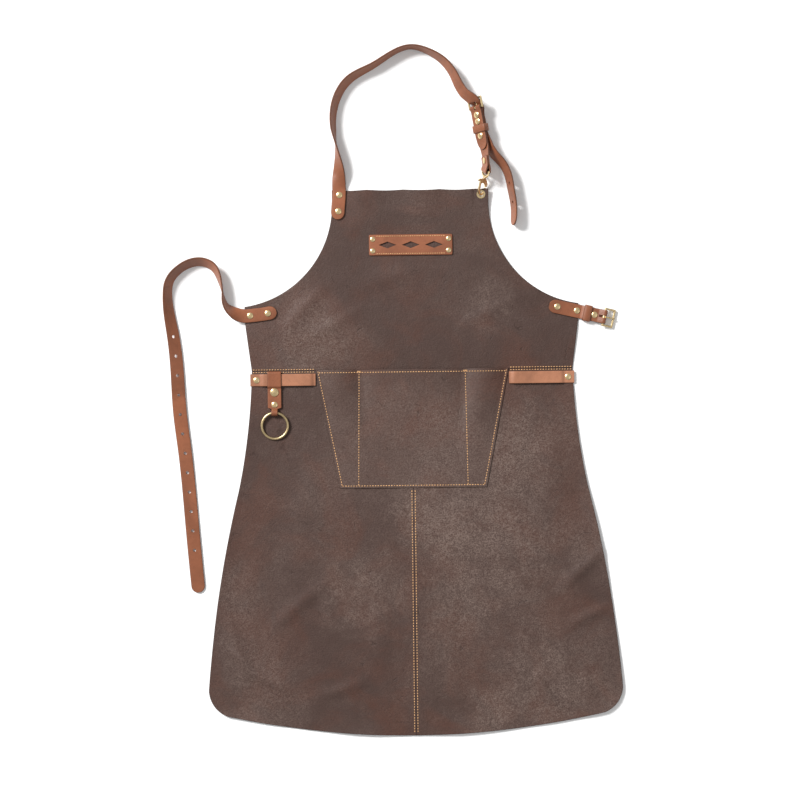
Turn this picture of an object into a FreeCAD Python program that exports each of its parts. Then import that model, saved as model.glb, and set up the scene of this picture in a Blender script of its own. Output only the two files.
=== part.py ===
import FreeCAD, Part
import math
import os
import Sketcher
from FreeCAD import Matrix, Placement, Rotation, Vector

# Leather bib apron for welding, laid out flat. Millimetres. +Z is up, +Y runs towards the bib.
# The origin is the middle of the waist seam, on the back of the leather.

os.makedirs("parts", exist_ok=True)
doc = FreeCAD.newDocument("welding_apron")

SIZES = {
    # the apron's body
    "panel_thick": 1.6, "bib_top_half": 114.5, "bib_length": 263.4, "armhole_drop": 20,
    "armhole_radius": 150, "wing_flare": 9.5, "wing_height": 94.4, "wing_end": 21,
    "waist_half": 234.5, "hip_flare": 20.5, "hip_drop": 173, "hip_radius": 950,
    "hem_flare": 41.5, "skirt_radius": 1800, "hem_corner_reach": 26.5, "hem_corner_rise": 37.6,
    "hem_corner_radius": 42, "hem_rise": 31, "skirt_length": 534.6, "hem_radius": 1244,
    # the pocket row
    "pocket_thick": 1.4, "pocket_top_half": 141, "pocket_bottom_half": 107.4,
    "pocket_rise": 0.8, "pocket_depth": 173.6, "pocket_divider": 77.5, "pocket_bulge": 8,
    # the name patch
    "patch_half_width": 61.2, "patch_half_height": 15.4, "patch_place": 182.4,
    "patch_thick": 2, "patch_corner": 2.5, "patch_rivet_across": 55.5, "patch_rivet_rise": 8.5,
    "lozenge_half": 13, "lozenge_half_height": 5, "lozenge_step": 34,
    # straps and bands
    "strap_width": 20, "strap_thick": 2.4, "fold_leather": 2, "band_width": 18, "band_thick": 2,
    "band_drop": 4.1, "band_bow": 2.2, "band_overhang": 2.1, "band_rivet_inset": 9,
    "hole_pitch": 28.5, "hole_count": 12, "hole_from_tip": 62, "strap_hole": 2.3,
    # rivets
    "rivet_cap": 4.5, "rivet_dome": 1.5, "rivet_post": 1.5, "rivet_back": 4.2,
    "rivet_back_thick": 0.6, "patch_rivet_cap": 3.75, "play": 0.15,
    # buckles and keepers
    "buckle_bar": 1.4, "window_play": 0.8, "buckle_reach": 14, "bar_play": 0.3,
    "prong_wire": 1.1, "prong_collar": 1.2, "prong_width": 2.6, "keeper_length": 11,
    "keeper_thick": 1.6, "neck_keeper_room": 7.7, "side_keeper_room": 5.2,
    # swivel clasp and eyelet
    "eyelet_inset_x": 10.5, "eyelet_inset_y": 8, "eyelet_hole": 3.9, "eyelet_rim": 6.3,
    "eyelet_wall": 0.5, "corner_fold": 44, "corner_lift": 12,
    "clasp_wire": 2.4, "clasp_inner": 4.6, "clasp_length": 29.4, "eye_play": 0.6,
    "clasp_stem": 1.1, "swivel_play": 0.25, "trigger_pivot": 15.2, "trigger_plate": 1.3,
    "trigger_pin": 0.9,
    # tool ring and its hanger
    "hanger_across": 201.5, "hanger_thick": 1.6, "hanger_stud_drop": 31, "hanger_rivet_drop": 49.2,
    "stud_cap": 6, "stud_post": 2.2, "ring_axis_drop": 60.9, "ring_radius": 19, "ring_wire": 1.9,
    "ring_throat": 3.1, "hanger_neck_half": 4.6,
}

sheet = doc.addObject("Spreadsheet::Sheet", "Sizes")
for row, (alias, number) in enumerate(SIZES.items(), start=1):
    sheet.set(f"A{row}", alias)
    sheet.set(f"B{row}", str(number))
    sheet.setAlias(f"B{row}", alias)
doc.recompute()

AIR = 0.3  # left between curved faces that lie side by side
FLOOR_AIR = 0.3  # under a strap that stands on its edge
UP = Vector(0, 0, 1)


def size(name):
    """The number held by one cell of the sheet."""
    return float(sheet.get(name))


def amount(words):
    """The value of a sum such as 'bib_length - eyelet_inset_y' or '0.5*strap_width'."""
    total, sign = 0.0, 1
    for word in words.split():
        if word in "+-":
            sign = 1 if word == "+" else -1
            continue
        product = float(sign)
        for factor in word.split("*"):
            product *= size(factor) if factor in SIZES else float(factor)
        total += product
        sign = 1
    return total


def bound(words):
    """The same sum as an expression on the sheet's cells."""
    terms = []
    for word in words.split():
        terms.append(" * ".join("Sizes." + f if f in SIZES else f for f in word.split("*")))
    return " ".join(terms)


# ---------------------------------------------------------------- sketches and bodies


def new_body(label):
    body = doc.addObject("PartDesign::Body", label)
    body.Label = label
    return body


def new_sketch(body, role="XY_Plane", lift="0"):
    """A sketch on one of the body's own planes, moved along its normal by lift."""
    sketch = body.newObject("Sketcher::SketchObject", body.Label + "_sketch")
    plane = [item for item in body.Origin.OriginFeatures if item.Role == role][0]
    sketch.AttachmentSupport = [(plane, "")]
    sketch.MapMode = "FlatFace"
    if lift != "0":
        sketch.AttachmentOffset = Placement(Vector(0, 0, amount(lift)), Rotation())
        sketch.setExpression("AttachmentOffset.Base.z", bound(lift))
    return sketch


def drive(sketch, kind, geometry, point, words):
    """One coordinate of a point, driven by the sheet; a zero lies on the sketch's own axis."""
    if words == "0":
        axis = -2 if kind == "DistanceX" else -1
        sketch.addConstraint(Sketcher.Constraint("PointOnObject", geometry, point, axis))
        return
    rule = Sketcher.Constraint(kind, -1, 1, geometry, point, amount(words))
    sketch.setExpression(f"Constraints[{sketch.addConstraint(rule)}]", bound(words))


def drive_radius(sketch, geometry, words):
    rule = Sketcher.Constraint("Radius", geometry, amount(words))
    sketch.setExpression(f"Constraints[{sketch.addConstraint(rule)}]", bound(words))


def outline(sketch, corners):
    """A closed outline. A corner is (x, y), or (x, y, radius, side) where an arc runs on to the
    next corner and bulges to the left (1) or right (-1) of the way it runs."""
    places = [Vector(amount(corner[0]), amount(corner[1]), 0) for corner in corners]
    ends = []
    for corner, start, end in zip(corners, places, places[1:] + places[:1]):
        if len(corner) == 2:
            ends.append((sketch.addGeometry(Part.LineSegment(start, end)), 1, 2))
            continue
        radius, side = amount(corner[2]), corner[3]
        half = (end - start) / 2
        left = Vector(-half.y, half.x, 0).normalize()
        centre = start + half - left * side * math.sqrt(max(0.0, radius**2 - half.Length**2))
        turns = [math.atan2(p.y - centre.y, p.x - centre.x) for p in (start, end)]
        if side > 0:
            turns.reverse()
        arc = sketch.addGeometry(Part.ArcOfCircle(Part.Circle(centre, UP, radius), *turns))
        if abs(radius - half.Length) < 1e-6:
            sketch.addConstraint(Sketcher.Constraint("Symmetric", arc, 1, arc, 2, arc, 3))
        else:
            drive_radius(sketch, arc, corner[2])
        ends.append((arc, 2, 1) if side > 0 else (arc, 1, 2))
    for i, corner in enumerate(corners):
        geometry, first, _ = ends[i]
        before, _, last = ends[i - 1]
        sketch.addConstraint(Sketcher.Constraint("Coincident", before, last, geometry, first))
        drive(sketch, "DistanceX", geometry, first, corner[0])
        drive(sketch, "DistanceY", geometry, first, corner[1])


def circles(sketch, centres, radius):
    for x, y in centres:
        circle = Part.Circle(Vector(amount(x), amount(y), 0), UP, amount(radius))
        geometry = sketch.addGeometry(circle)
        drive(sketch, "DistanceX", geometry, 3, x)
        drive(sketch, "DistanceY", geometry, 3, y)
        drive_radius(sketch, geometry, radius)


def pad(body, sketch, length):
    feature = body.newObject("PartDesign::Pad", body.Label + "_pad")
    feature.Profile = sketch
    feature.setExpression("Length", bound(length))
    sketch.Visibility = False
    return feature


def cut(body, sketch, depth):
    """Cuts upwards from the sketch by depth."""
    feature = body.newObject("PartDesign::Pocket", body.Label + "_cut")
    feature.Profile = sketch
    feature.Reversed = True
    feature.setExpression("Length", bound(depth))
    return feature


def punch_flat(body, centres, radius, thick):
    """Round holes right through a flat body that lies on its XY plane."""
    sketch = new_sketch(body)
    circles(sketch, centres, radius)
    cut(body, sketch, thick)


def rivet_seats(body, centres, radius="rivet_post + play"):
    """Holes for rivet posts in a panel, each with a shallow seat for the back disc."""
    punch_flat(body, centres, radius, "2*panel_thick")
    punch_flat(body, centres, "rivet_back + play", "rivet_back_thick + 2*play")


def fillet_all(body, radius):
    """Rounds every edge of the body's shape so far."""
    doc.recompute()
    tip = body.Tip
    feature = body.newObject("PartDesign::Fillet", body.Label + "_fillet")
    edges = [f"Edge{i + 1}" for i in range(len(tip.Shape.Edges))]
    feature.Base = (tip, edges)
    feature.Radius = radius
    return feature


def revolve(body, corners):
    """A round piece: the outline in (radius, height) turned about Z."""
    sketch = new_sketch(body, "XZ_Plane")
    outline(sketch, corners)
    feature = body.newObject("PartDesign::Revolution", body.Label + "_turn")
    feature.Profile = sketch
    feature.ReferenceAxis = (sketch, ["V_Axis"])
    feature.Angle = 360
    return feature


def feature(label, shape, placement=None):
    item = doc.addObject("Part::Feature", label)
    item.Label = label
    item.Shape = shape
    if placement is not None:
        item.Placement = placement
    return item


# ---------------------------------------------------------------- places in space


def triad(origin, along, across, normal):
    """A placement whose x, y and z run along, across and normal."""
    a, b, c = along, across, normal
    return Placement(Matrix(a.x, b.x, c.x, origin.x, a.y, b.y, c.y, origin.y,
                            a.z, b.z, c.z, origin.z, 0, 0, 0, 1))


def direction(heading, slope):
    turn, climb = math.radians(heading), math.radians(slope)
    return Vector(math.cos(turn) * math.cos(climb), math.sin(turn) * math.cos(climb), math.sin(climb))


def sides(along, roll):
    """The raised side and the face of a strap that runs along and is rolled by roll degrees."""
    right = along.cross(UP).normalize()
    rise = right.cross(along)
    turn = math.radians(roll)
    return (right * math.cos(turn) + rise * math.sin(turn),
            rise * math.cos(turn) - right * math.sin(turn))


def seat(origin, along, roll):
    across, normal = sides(along, roll)
    return triad(origin, along, across * -1, normal)


class Course:
    """A strap's middle line through (point, roll) stops, with the roll blended between stops."""

    def __init__(self, stops):
        self.curve = Part.BSplineCurve()
        self.curve.interpolate([point for point, _ in stops])
        self.marks = [(self.run_at(point), roll) for point, roll in stops]
        self.length = self.curve.length()

    def run_at(self, point):
        """How far along the course a point of it lies."""
        first, reached = self.curve.FirstParameter, self.curve.parameter(point)
        return self.curve.length(first, reached) if reached > first else 0.0

    def roll(self, run):
        for (a, start), (b, end) in zip(self.marks, self.marks[1:]):
            if run <= b:
                break
        share = max(0.0, min(1.0, (run - a) / (b - a)))
        return start + (end - start) * share

    def seat(self, run):
        run = max(0.001, min(self.length - 0.001, run))
        at = self.curve.parameterAtDistance(run, self.curve.FirstParameter)
        return seat(self.curve.value(at), self.curve.tangent(at)[0], self.roll(run))


def slab(place, width, thick, x=0.0, z=0.0, heading=0.0):
    """One cross-section of a strap, in the x-z plane of place at (x, z) and turned by heading."""
    down = Vector(-math.sin(heading), 0, math.cos(heading)) * (thick / 2)
    middle, side = Vector(x, 0, z), Vector(0, width / 2, 0)
    corners = [middle - side - down, middle + side - down, middle + side + down, middle - side + down]
    corners = [place.multVec(corner) for corner in corners]
    return Part.makePolygon(corners + corners[:1])


def ribbon(sections):
    return Part.makeLoft(sections, True, True)


def nose(distance, width):
    """The width of a strap's rounded end at a distance from its tip."""
    radius = width / 2
    if distance >= radius:
        return width
    return 2 * math.sqrt(radius**2 - (radius - distance) ** 2 * 0.94)


def spaced(start, end, step):
    count = max(1, round(abs(end - start) / step))
    return [start + (end - start) * i / count for i in range(count + 1)]


def strap_runs(start, end, step, round_start=True, round_end=True):
    """Where the cross-sections of a strap stand, closer together at its rounded ends."""
    runs = spaced(start, end, step)
    close = [0.6, 1.8, 3.6, 6.2, 10]
    if round_start:
        runs = [start] + [start + c for c in close] + [r for r in runs if r > start + 12]
    if round_end:
        runs = [r for r in runs if r < end - 12] + [end - c for c in reversed(close)] + [end]
    return runs


def folded(course, route, width, thick):
    """A strip that follows a route of (run, height, width) stops over a course and may fold back.
    Each cross-section stands square to the route."""
    sections = []
    for i, (run, height, wide) in enumerate(route):
        before, after = route[max(0, i - 1)], route[min(len(route) - 1, i + 1)]
        heading = math.atan2(after[1] - before[1], after[0] - before[0])
        sections.append(slab(course.seat(run), wide, thick, 0, height, heading))
    return ribbon(sections)


def turn(run, height, radius, start, end, wide, steps=8):
    """Stops round a fold, from one angle to another, in degrees."""
    stops = []
    for i in range(steps + 1):
        angle = math.radians(start + (end - start) * i / steps)
        stops.append((run + radius * math.cos(angle), height + radius * math.sin(angle), wide))
    return stops


def punched(shape, places, radius, low=-12, high=12):
    """The shape with a round hole along the z of each place."""
    for place in places:
        drill = Part.makeCylinder(radius, high - low, Vector(0, 0, low))
        drill.Placement = place
        shape = shape.cut(drill)
    return shape


def rivet(low, high, cap, dome):
    """One rivet: a back disc that starts at low, a post, and a domed cap that sits at high."""
    post, back = size("rivet_post"), size("rivet_back")
    disc = low + size("rivet_back_thick")
    rim = 0.35 * dome
    corners = [Vector(0, 0, low), Vector(back, 0, low), Vector(back, 0, disc), Vector(post, 0, disc),
               Vector(post, 0, high), Vector(cap, 0, high), Vector(cap, 0, high + rim)]
    edges = [Part.LineSegment(a, b).toShape() for a, b in zip(corners, corners[1:])]
    crown = Vector(cap * 0.15, 0, high + dome)
    bend = Vector(cap * 0.66, 0, high + dome * 0.84)
    edges.append(Part.Arc(corners[-1], bend, crown).toShape())
    top = Vector(0, 0, high + dome)
    edges += [Part.LineSegment(a, b).toShape() for a, b in ((crown, top), (top, corners[0]))]
    return Part.Face(Part.Wire(edges)).revolve(Vector(0, 0, 0), UP, 360)


def rivets(label, places, low, high, cap="rivet_cap"):
    """A group of separate, equal rivets, one at each place."""
    group = []
    for place in places:
        piece = rivet(low, high, size(cap), size("rivet_dome"))
        piece.Placement = place
        group.append(piece)
    return feature(label, Part.makeCompound(group))


def mirrored(words):
    """The same sum with its sign changed."""
    return " ".join(word if word in "+-" else "-1*" + word for word in words.split())


def on_side(words, side):
    return words if side > 0 else mirrored(words)


def flat_place(x, y):
    return Placement(Vector(amount(x), amount(y), 0), Rotation())


# ---------------------------------------------------------------- panels

THICK = size("panel_thick")
BACK = size("play")  # the back discs stand this far inside the back of the leather
STRAP_TOP = THICK + size("strap_thick") + 0.1
FOLD_TOP = THICK + size("fold_leather")

WING = "waist_half + wing_flare"
PATCH_RIVETS = [(f"{a}*patch_rivet_across", f"patch_place + {b}*patch_rivet_rise")
                for a in (-1, 1) for b in (-1, 1)]
NECK_RIVETS = [("-1*bib_top_half + 11.2", "bib_length - 7.3"),
               ("-1*bib_top_half + 9.5", "bib_length - 31.1")]
LONG_RIVETS = [("-1*waist_half + 24.6", "wing_height - 9.9"),
               ("-1*waist_half - 1.2", "wing_height - 13")]
SHORT_RIVETS = [("waist_half - 21.3", "wing_height - 4.9"),
                ("waist_half + 7.4", "wing_height - 11.2")]
EYELET = ("bib_top_half - eyelet_inset_x", "bib_length - eyelet_inset_y")
BAND_RIVET = "waist_half + band_overhang - band_rivet_inset"
BAND_MIDDLE = "-1*band_drop - 0.5*band_width"


def make_bib():
    """The bib in one piece of leather, with its right top corner bent up to clear the clasp."""
    blank = new_body("bib_blank")
    sketch = new_sketch(blank)
    outline(sketch, [
        ("-1*waist_half", "0"), ("waist_half", "0"), (WING, "wing_height - wing_end"),
        (WING, "wing_height", "armhole_radius", 1), ("bib_top_half", "bib_length - armhole_drop"),
        ("bib_top_half", "bib_length"), ("-1*bib_top_half", "bib_length"),
        ("-1*bib_top_half", "bib_length - armhole_drop", "armhole_radius", 1),
        (mirrored(WING), "wing_height"), (mirrored(WING), "wing_height - wing_end"),
    ])
    pad(blank, sketch, "panel_thick")
    rivet_seats(blank, PATCH_RIVETS + NECK_RIVETS + LONG_RIVETS + SHORT_RIVETS)
    punch_flat(blank, [EYELET], "eyelet_hole + eyelet_wall + play", "2*panel_thick")
    corner = doc.addObject("Part::Box", "corner_block")
    corner.setExpression("Length", bound("4*corner_fold"))
    corner.setExpression("Width", bound("4*corner_fold"))
    corner.setExpression("Height", bound("10*panel_thick"))
    fold = Vector(amount("bib_top_half - corner_fold"), size("bib_length"), 0)
    reach = 2 * size("corner_fold")
    start = fold - Vector(1, -1, 0).normalize() * reach
    corner.Placement = Placement(start - UP * (5 * THICK), Rotation(UP, -45))
    flat = doc.addObject("Part::Cut", "bib_flat")
    flat.Base, flat.Tool = blank, corner
    lifted = doc.addObject("Part::Common", "bib_corner")
    lifted.Base, lifted.Tool = blank, corner
    doc.recompute()
    lifted.Placement = LIFT
    bib = doc.addObject("Part::Fuse", "bib_panel")
    bib.Label = "bib_panel"
    bib.Base, bib.Tool = flat, lifted
    return bib


def corner_lift():
    """The placement that bends the right top corner of the bib up about its fold."""
    fold = Vector(amount("bib_top_half - corner_fold"), size("bib_length"), 0)
    return Placement(Vector(), Rotation(Vector(1, -1, 0), size("corner_lift")), fold)


LIFT = corner_lift()


def make_skirt(label, side):
    """One half of the skirt; the two halves meet at the middle seam."""
    body = new_body(label)
    sketch = new_sketch(body)
    # the left half (side -1) runs round the other way, so its arcs bulge to the other hand
    outline(sketch, [
        ("0", "0"), (on_side("waist_half", side), "0", "hip_radius", -side),
        (on_side("waist_half + hip_flare", side), "-1*hip_drop", "skirt_radius", side),
        (on_side("waist_half + hem_flare + hem_corner_reach", side),
         "-1*skirt_length + hem_rise + hem_corner_rise", "hem_corner_radius", side),
        (on_side("waist_half + hem_flare", side), "-1*skirt_length + hem_rise", "hem_radius", side),
        ("0", "-1*skirt_length"),
    ])
    pad(body, sketch, "panel_thick")
    rivet_seats(body, [(on_side(BAND_RIVET, side), BAND_MIDDLE)])
    return body


def make_pocket():
    """One piece with three mouths: its upper edge stands off the skirt between the dividers."""
    half, low_half = size("pocket_top_half"), size("pocket_bottom_half")
    top, bottom = size("pocket_rise"), size("pocket_rise") - size("pocket_depth")
    divider, thick = size("pocket_divider"), size("pocket_thick")
    level = 0.22 * size("pocket_depth")
    edge = 7.0  # sewn flat beside each edge and divider
    spans = [(-half + edge, -divider - edge), (-divider + edge, divider - edge),
             (divider + edge, half - edge)]
    sections = []
    for x in spaced(-half, half, 4):
        bulge = 0.0
        for start, end in spans:
            if start < x < end:
                bulge = size("pocket_bulge") * math.sin(math.pi * (x - start) / (end - start)) ** 0.6
        slant = x * low_half / half
        inner = slant + (x - slant) * (level / size("pocket_depth"))
        base = THICK
        corners = [Vector(x, top, base + bulge), Vector(inner, bottom + level, base),
                   Vector(slant, bottom, base), Vector(slant, bottom, base + thick),
                   Vector(inner, bottom + level, base + thick),
                   Vector(x, top, base + bulge + thick)]
        sections.append(Part.makePolygon(corners + corners[:1]))
    return feature("pocket_panel", ribbon(sections))


def make_patch():
    """The name patch, with a row of plain lozenges cut out where a name would be."""
    body = new_body("name_patch")
    outer = new_sketch(body)
    right, top, r = "patch_half_width", "patch_half_height", "patch_corner"
    outline(outer, [
        (f"-1*{right} + {r}", f"-1*{top}"), (f"{right} - {r}", f"-1*{top}", r, -1),
        (right, f"-1*{top} + {r}"), (right, f"{top} - {r}", r, -1),
        (f"{right} - {r}", top), (f"-1*{right} + {r}", top, r, -1),
        (f"-1*{right}", f"{top} - {r}"), (f"-1*{right}", f"-1*{top} + {r}", r, -1),
    ])
    pad(body, outer, "patch_thick")
    punch_flat(body, [(f"{a}*patch_rivet_across", f"{b}*patch_rivet_rise")
                      for a in (-1, 1) for b in (-1, 1)], "rivet_post + play", "2*patch_thick")
    for step in (-1, 0, 1):
        sketch = new_sketch(body)
        middle = f"{step}*lozenge_step"
        outline(sketch, [
            (f"{middle} - lozenge_half", "0"), (middle if step else "0", "-1*lozenge_half_height"),
            (f"{middle} + lozenge_half", "0"), (middle if step else "0", "lozenge_half_height")])
        cut(body, sketch, "2*patch_thick")
    body.Placement = Placement(Vector(0, size("patch_place"), THICK), Rotation())
    return body


def make_band(label, side):
    """A waist band: riveted at the apron's edge, sewn in at the pocket and bowed off between."""
    outer = amount("waist_half + band_overhang")
    inner = size("pocket_top_half") + AIR
    rivet_at = amount(BAND_RIVET)
    thick, middle = size("band_thick"), amount(BAND_MIDDLE)
    flat, high = THICK + thick / 2, THICK + thick / 2 + size("band_bow")
    lift = rivet_at - size("rivet_cap") - AIR
    stops = [(outer, flat), (lift, flat), (lift - 6, high), (inner + 8, high), (inner + 2, flat),
             (inner, flat)]
    sections = []
    for i, (x, z) in enumerate(stops):
        before, after = stops[max(0, i - 1)], stops[min(len(stops) - 1, i + 1)]
        heading = math.atan2(after[1] - before[1], after[0] - before[0])
        place = Placement(Vector(x, middle, z), Rotation())
        if side < 0:
            place = Placement(Vector(-x, middle, z), Rotation(UP, 180))
        sections.append(slab(place, size("band_width"), thick, 0, 0, heading + math.pi))
    place = flat_place(on_side(BAND_RIVET, side), BAND_MIDDLE)
    return feature(label, punched(ribbon(sections), [place], amount("rivet_post + play")))


# ---------------------------------------------------------------- clasp and eyelet


def eyelet_middle():
    flat = Vector(amount(EYELET[0]), amount(EYELET[1]), THICK / 2)
    return LIFT.multVec(flat)


def clasp_seat():
    """Where the clasp lies: x runs from its eye to its hook, y towards its gate side."""
    along = direction(-102.7, -15.2)
    right = along.cross(UP).normalize()
    rise = right.cross(along)
    gate = (right * -1 - rise).normalize()
    bend = amount("clasp_inner + 0.5*clasp_wire")
    pass_at = math.radians(5)  # where on its bend the hook goes through the eyelet
    middle = eyelet_middle() - (along * math.cos(pass_at) + gate * math.sin(pass_at)) * bend
    eye = middle - along * size("clasp_length")
    return triad(eye, along, gate, along.cross(gate))


CLASP = clasp_seat()
EYE_ROLL = 110
CLASP_EYE = seat(CLASP.Base, CLASP.Rotation.multVec(Vector(1, 0, 0)), EYE_ROLL)


def make_eyelet():
    body = new_body("bib_eyelet")
    wall = "eyelet_hole + eyelet_wall"
    revolve(body, [
        ("eyelet_hole", "-1*eyelet_wall"), ("eyelet_rim", "-1*eyelet_wall"), ("eyelet_rim", "0"),
        (wall, "0"), (wall, "panel_thick"), ("eyelet_rim", "panel_thick"),
        ("eyelet_rim", "panel_thick + eyelet_wall"), ("eyelet_hole", "panel_thick + eyelet_wall"),
    ])
    flat = Placement(Vector(amount(EYELET[0]), amount(EYELET[1]), 0), Rotation())
    body.Placement = LIFT.multiply(flat)
    return body


def make_clasp_eye():
    """The clasp's loop for the strap, with the socket that the hook turns in."""
    body = new_body("clasp_eye")
    loop = new_sketch(body, lift="-0.5*clasp_wire")
    bar = "0.5*clasp_wire"
    side, minus = "0.5*strap_width + eye_play", "-0.5*strap_width - eye_play"
    outline(loop, [
        ("-1*" + bar, minus + " - clasp_wire"), ("5.5", minus + " - clasp_wire"), ("11.2", "-2.8"),
        ("11.2", "2.8"), ("5.5", side + " + clasp_wire"), ("-1*" + bar, side + " + clasp_wire")])
    outline(loop, [(bar, minus), ("4.9", minus), ("8.4", "-2.8"), ("8.4", "2.8"), ("4.9", side),
                   (bar, side)])
    pad(body, loop, "clasp_wire")
    doc.recompute()
    bore = new_sketch(body, "YZ_Plane", "7")
    circles(bore, [("0", "0")], "clasp_stem + swivel_play")
    hole = body.newObject("PartDesign::Pocket", "socket_bore")
    hole.Profile = bore
    hole.Reversed = True
    hole.Length = 8
    return body


def make_hook():
    """The hook: a stem with a collar that is held in the socket, a body and the bent wire."""
    body = new_body("clasp_hook")
    sketch = new_sketch(body, lift="-0.5*clasp_wire")
    far = "clasp_length"
    inner, outer = "clasp_inner", "clasp_inner + clasp_wire"
    low = "-1*clasp_inner - clasp_wire"
    outline(sketch, [
        ("11.7", "-2.6"), ("14.4", low), (far, low, outer, -1), (far, outer), (f"{far} - 3.9", outer),
        (f"{far} - 3.9", inner), (far, inner, inner, 1), (far, "-1*clasp_inner"),
        ("19", "-1*clasp_inner"), ("18", "2.6"), ("11.7", "2.6")])
    pad(body, sketch, "clasp_wire")
    doc.recompute()
    stem = new_sketch(body, "YZ_Plane", "6.6")
    circles(stem, [("0", "0")], "clasp_stem")
    rod = body.newObject("PartDesign::Pad", "stem_pad")
    rod.Profile = stem
    rod.Length = 5.6
    doc.recompute()
    collar = new_sketch(body, "YZ_Plane", "6.4")
    circles(collar, [("0", "0")], "2*clasp_stem")
    head = body.newObject("PartDesign::Pad", "collar_pad")
    head.Profile = collar
    head.Length = 1.7
    doc.recompute()
    pin = new_sketch(body, lift="-1*clasp_wire")
    circles(pin, [("trigger_pivot", "0")], "trigger_pin + play")
    cut(body, pin, "2*clasp_wire")
    return body


def make_trigger():
    """The thumb lever, its hub and the gate that closes the hook, all in one casting."""
    body = new_body("clasp_trigger")
    plate = new_sketch(body, lift="0.5*clasp_wire + play")
    p = "trigger_pivot"
    outline(plate, [
        (f"{p} - 3.4", "-10"), (f"{p} - 1.4", "-13.2"), (f"{p} + 0.6", "-12.6"), (f"{p} - 0.4", "-9"),
        (f"{p} + 2.6", "-2.2"), (f"{p} + 8.4", "4.6"), (f"{p} + 8.4", "7"), (f"{p} + 4.5", "7"),
        (f"{p} - 2.6", "2.6"), (f"{p} - 2.8", "-2.4")])
    pad(body, plate, "trigger_plate")
    doc.recompute()
    gate = new_sketch(body, lift="-0.5*clasp_wire")
    outline(gate, [(f"{p} + 5", "4.6"), ("clasp_length - 5.2", "4.6"), ("clasp_length - 6.4", "7"),
                   (f"{p} + 5", "7")])
    bar = body.newObject("PartDesign::Pad", "gate_pad")
    bar.Profile = gate
    bar.setExpression("Length", bound("clasp_wire + play + trigger_plate"))
    doc.recompute()
    pin = new_sketch(body, lift="-2*clasp_wire")
    circles(pin, [(p, "0")], "trigger_pin + play")
    cut(body, pin, "5*clasp_wire")
    return body


def make_clasp_pin():
    """The pin that the trigger turns on, with a head on each end."""
    body = new_body("clasp_pin")
    low, high = "-0.5*clasp_wire - play", "0.5*clasp_wire + 2*play + trigger_plate"
    revolve(body, [
        ("0", f"{low} - 0.6"), ("2*trigger_pin", f"{low} - 0.6"), ("2*trigger_pin", low),
        ("trigger_pin", low), ("trigger_pin", high), ("2*trigger_pin", high),
        ("2*trigger_pin", f"{high} + 0.6"), ("0", f"{high} + 0.6")])
    body.Placement = CLASP.multiply(Placement(Vector(size("trigger_pivot"), 0, 0), Rotation()))
    return body


# ---------------------------------------------------------------- straps


def neck_point(share, x, y, roll, lift=0.0):
    """A stop of the neck strap: x from the bib's corner (share -1 or 1) or between the two, y from
    the bib's upper edge. It stands on its lower edge, lift above the floor."""
    turn = math.radians(roll)
    rise = abs(math.sin(turn)) * size("strap_width") / 2 + abs(math.cos(turn)) * size("strap_thick") / 2
    height = rise + FLOOR_AIR + lift
    place = Vector(share * size("bib_top_half") + x, size("bib_length") + y, height)
    return place, roll


NECK_ROLL = 135
BAR_HEIGHT = 14.2
BAR = Vector(size("bib_top_half") - 17, size("bib_length") + 116, BAR_HEIGHT)
NECK_BUCKLE = seat(BAR, direction(-80, -1), NECK_ROLL)


def by_neck_buckle(along, height):
    """A stop of a strap that passes the neck buckle, in the buckle's own frame."""
    return NECK_BUCKLE.multVec(Vector(along, 0, height)), NECK_ROLL


def neck_course():
    """Up from the left corner of the bib, round the neck on edge, through the buckle, and down."""
    flat = THICK + 0.05 - FLOOR_AIR
    stops = [neck_point(-1, 8, -42.7, 0, flat), neck_point(-1, 9, -27.5, 0, flat),
             neck_point(-1, 10.4, -12, 0, flat), neck_point(-1, 10.8, -3.7, 0, flat),
             neck_point(-1, 10.8, 4, 0, flat + 0.25), neck_point(-1, 10.8, 14, 12, 1.2),
             neck_point(-1, 11, 29.7, 40, 0.3), neck_point(-1, 9.4, 48.7, 70),
             neck_point(-1, 6.8, 67.2, 90), neck_point(-1, 3.6, 89, 109),
             neck_point(-1, 3.6, 110, 114), neck_point(-1, 8.6, 132, 118),
             neck_point(-0.75, -1.9, 159.7, 118), neck_point(-0.45, -1.5, 179.7, 106),
             neck_point(-0.2, -1.2, 197.7, 101), neck_point(0.03, 0, 206.8, 97),
             neck_point(0.2, 4.4, 200.7, 104), neck_point(0.45, -0.9, 185.8, 114),
             neck_point(0.6, -2.2, 163.7, 121, 1.5), neck_point(0.76, -4.8, 138, 130, 4)]
    stops += [by_neck_buckle(along, 0) for along in (-12, 0, 14, 28, 40)]
    stops += [neck_point(1, -0.5, 62, 128, 1.2), neck_point(1, 9.5, 48, 122, 0.4),
              neck_point(1, 19.6, 36.5, 118), neck_point(1, 28, 20.5, 116),
              neck_point(1, 32.6, -1.1, 114), neck_point(1, 36.4, -25.7, 111),
              neck_point(1, 36.4, -45, 109), neck_point(1, 35.4, -54.8, 108)]
    return Course(stops)


def buckle_course():
    """From the neck buckle's bar to the clasp's eye."""
    eye = CLASP.Base
    stops = [by_neck_buckle(x, 0) for x in (-5, 0, 14, 28, 42)]
    stops += [(Vector(eye.x - 2.6, eye.y + 34, BAR_HEIGHT - 0.8), 124),
              (Vector(eye.x - 0.7, eye.y + 17, eye.z + 0.9), EYE_ROLL), (eye, EYE_ROLL),
              (eye + CLASP.Rotation.multVec(Vector(5, 0, 0)), EYE_ROLL)]
    return Course(stops)


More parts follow.
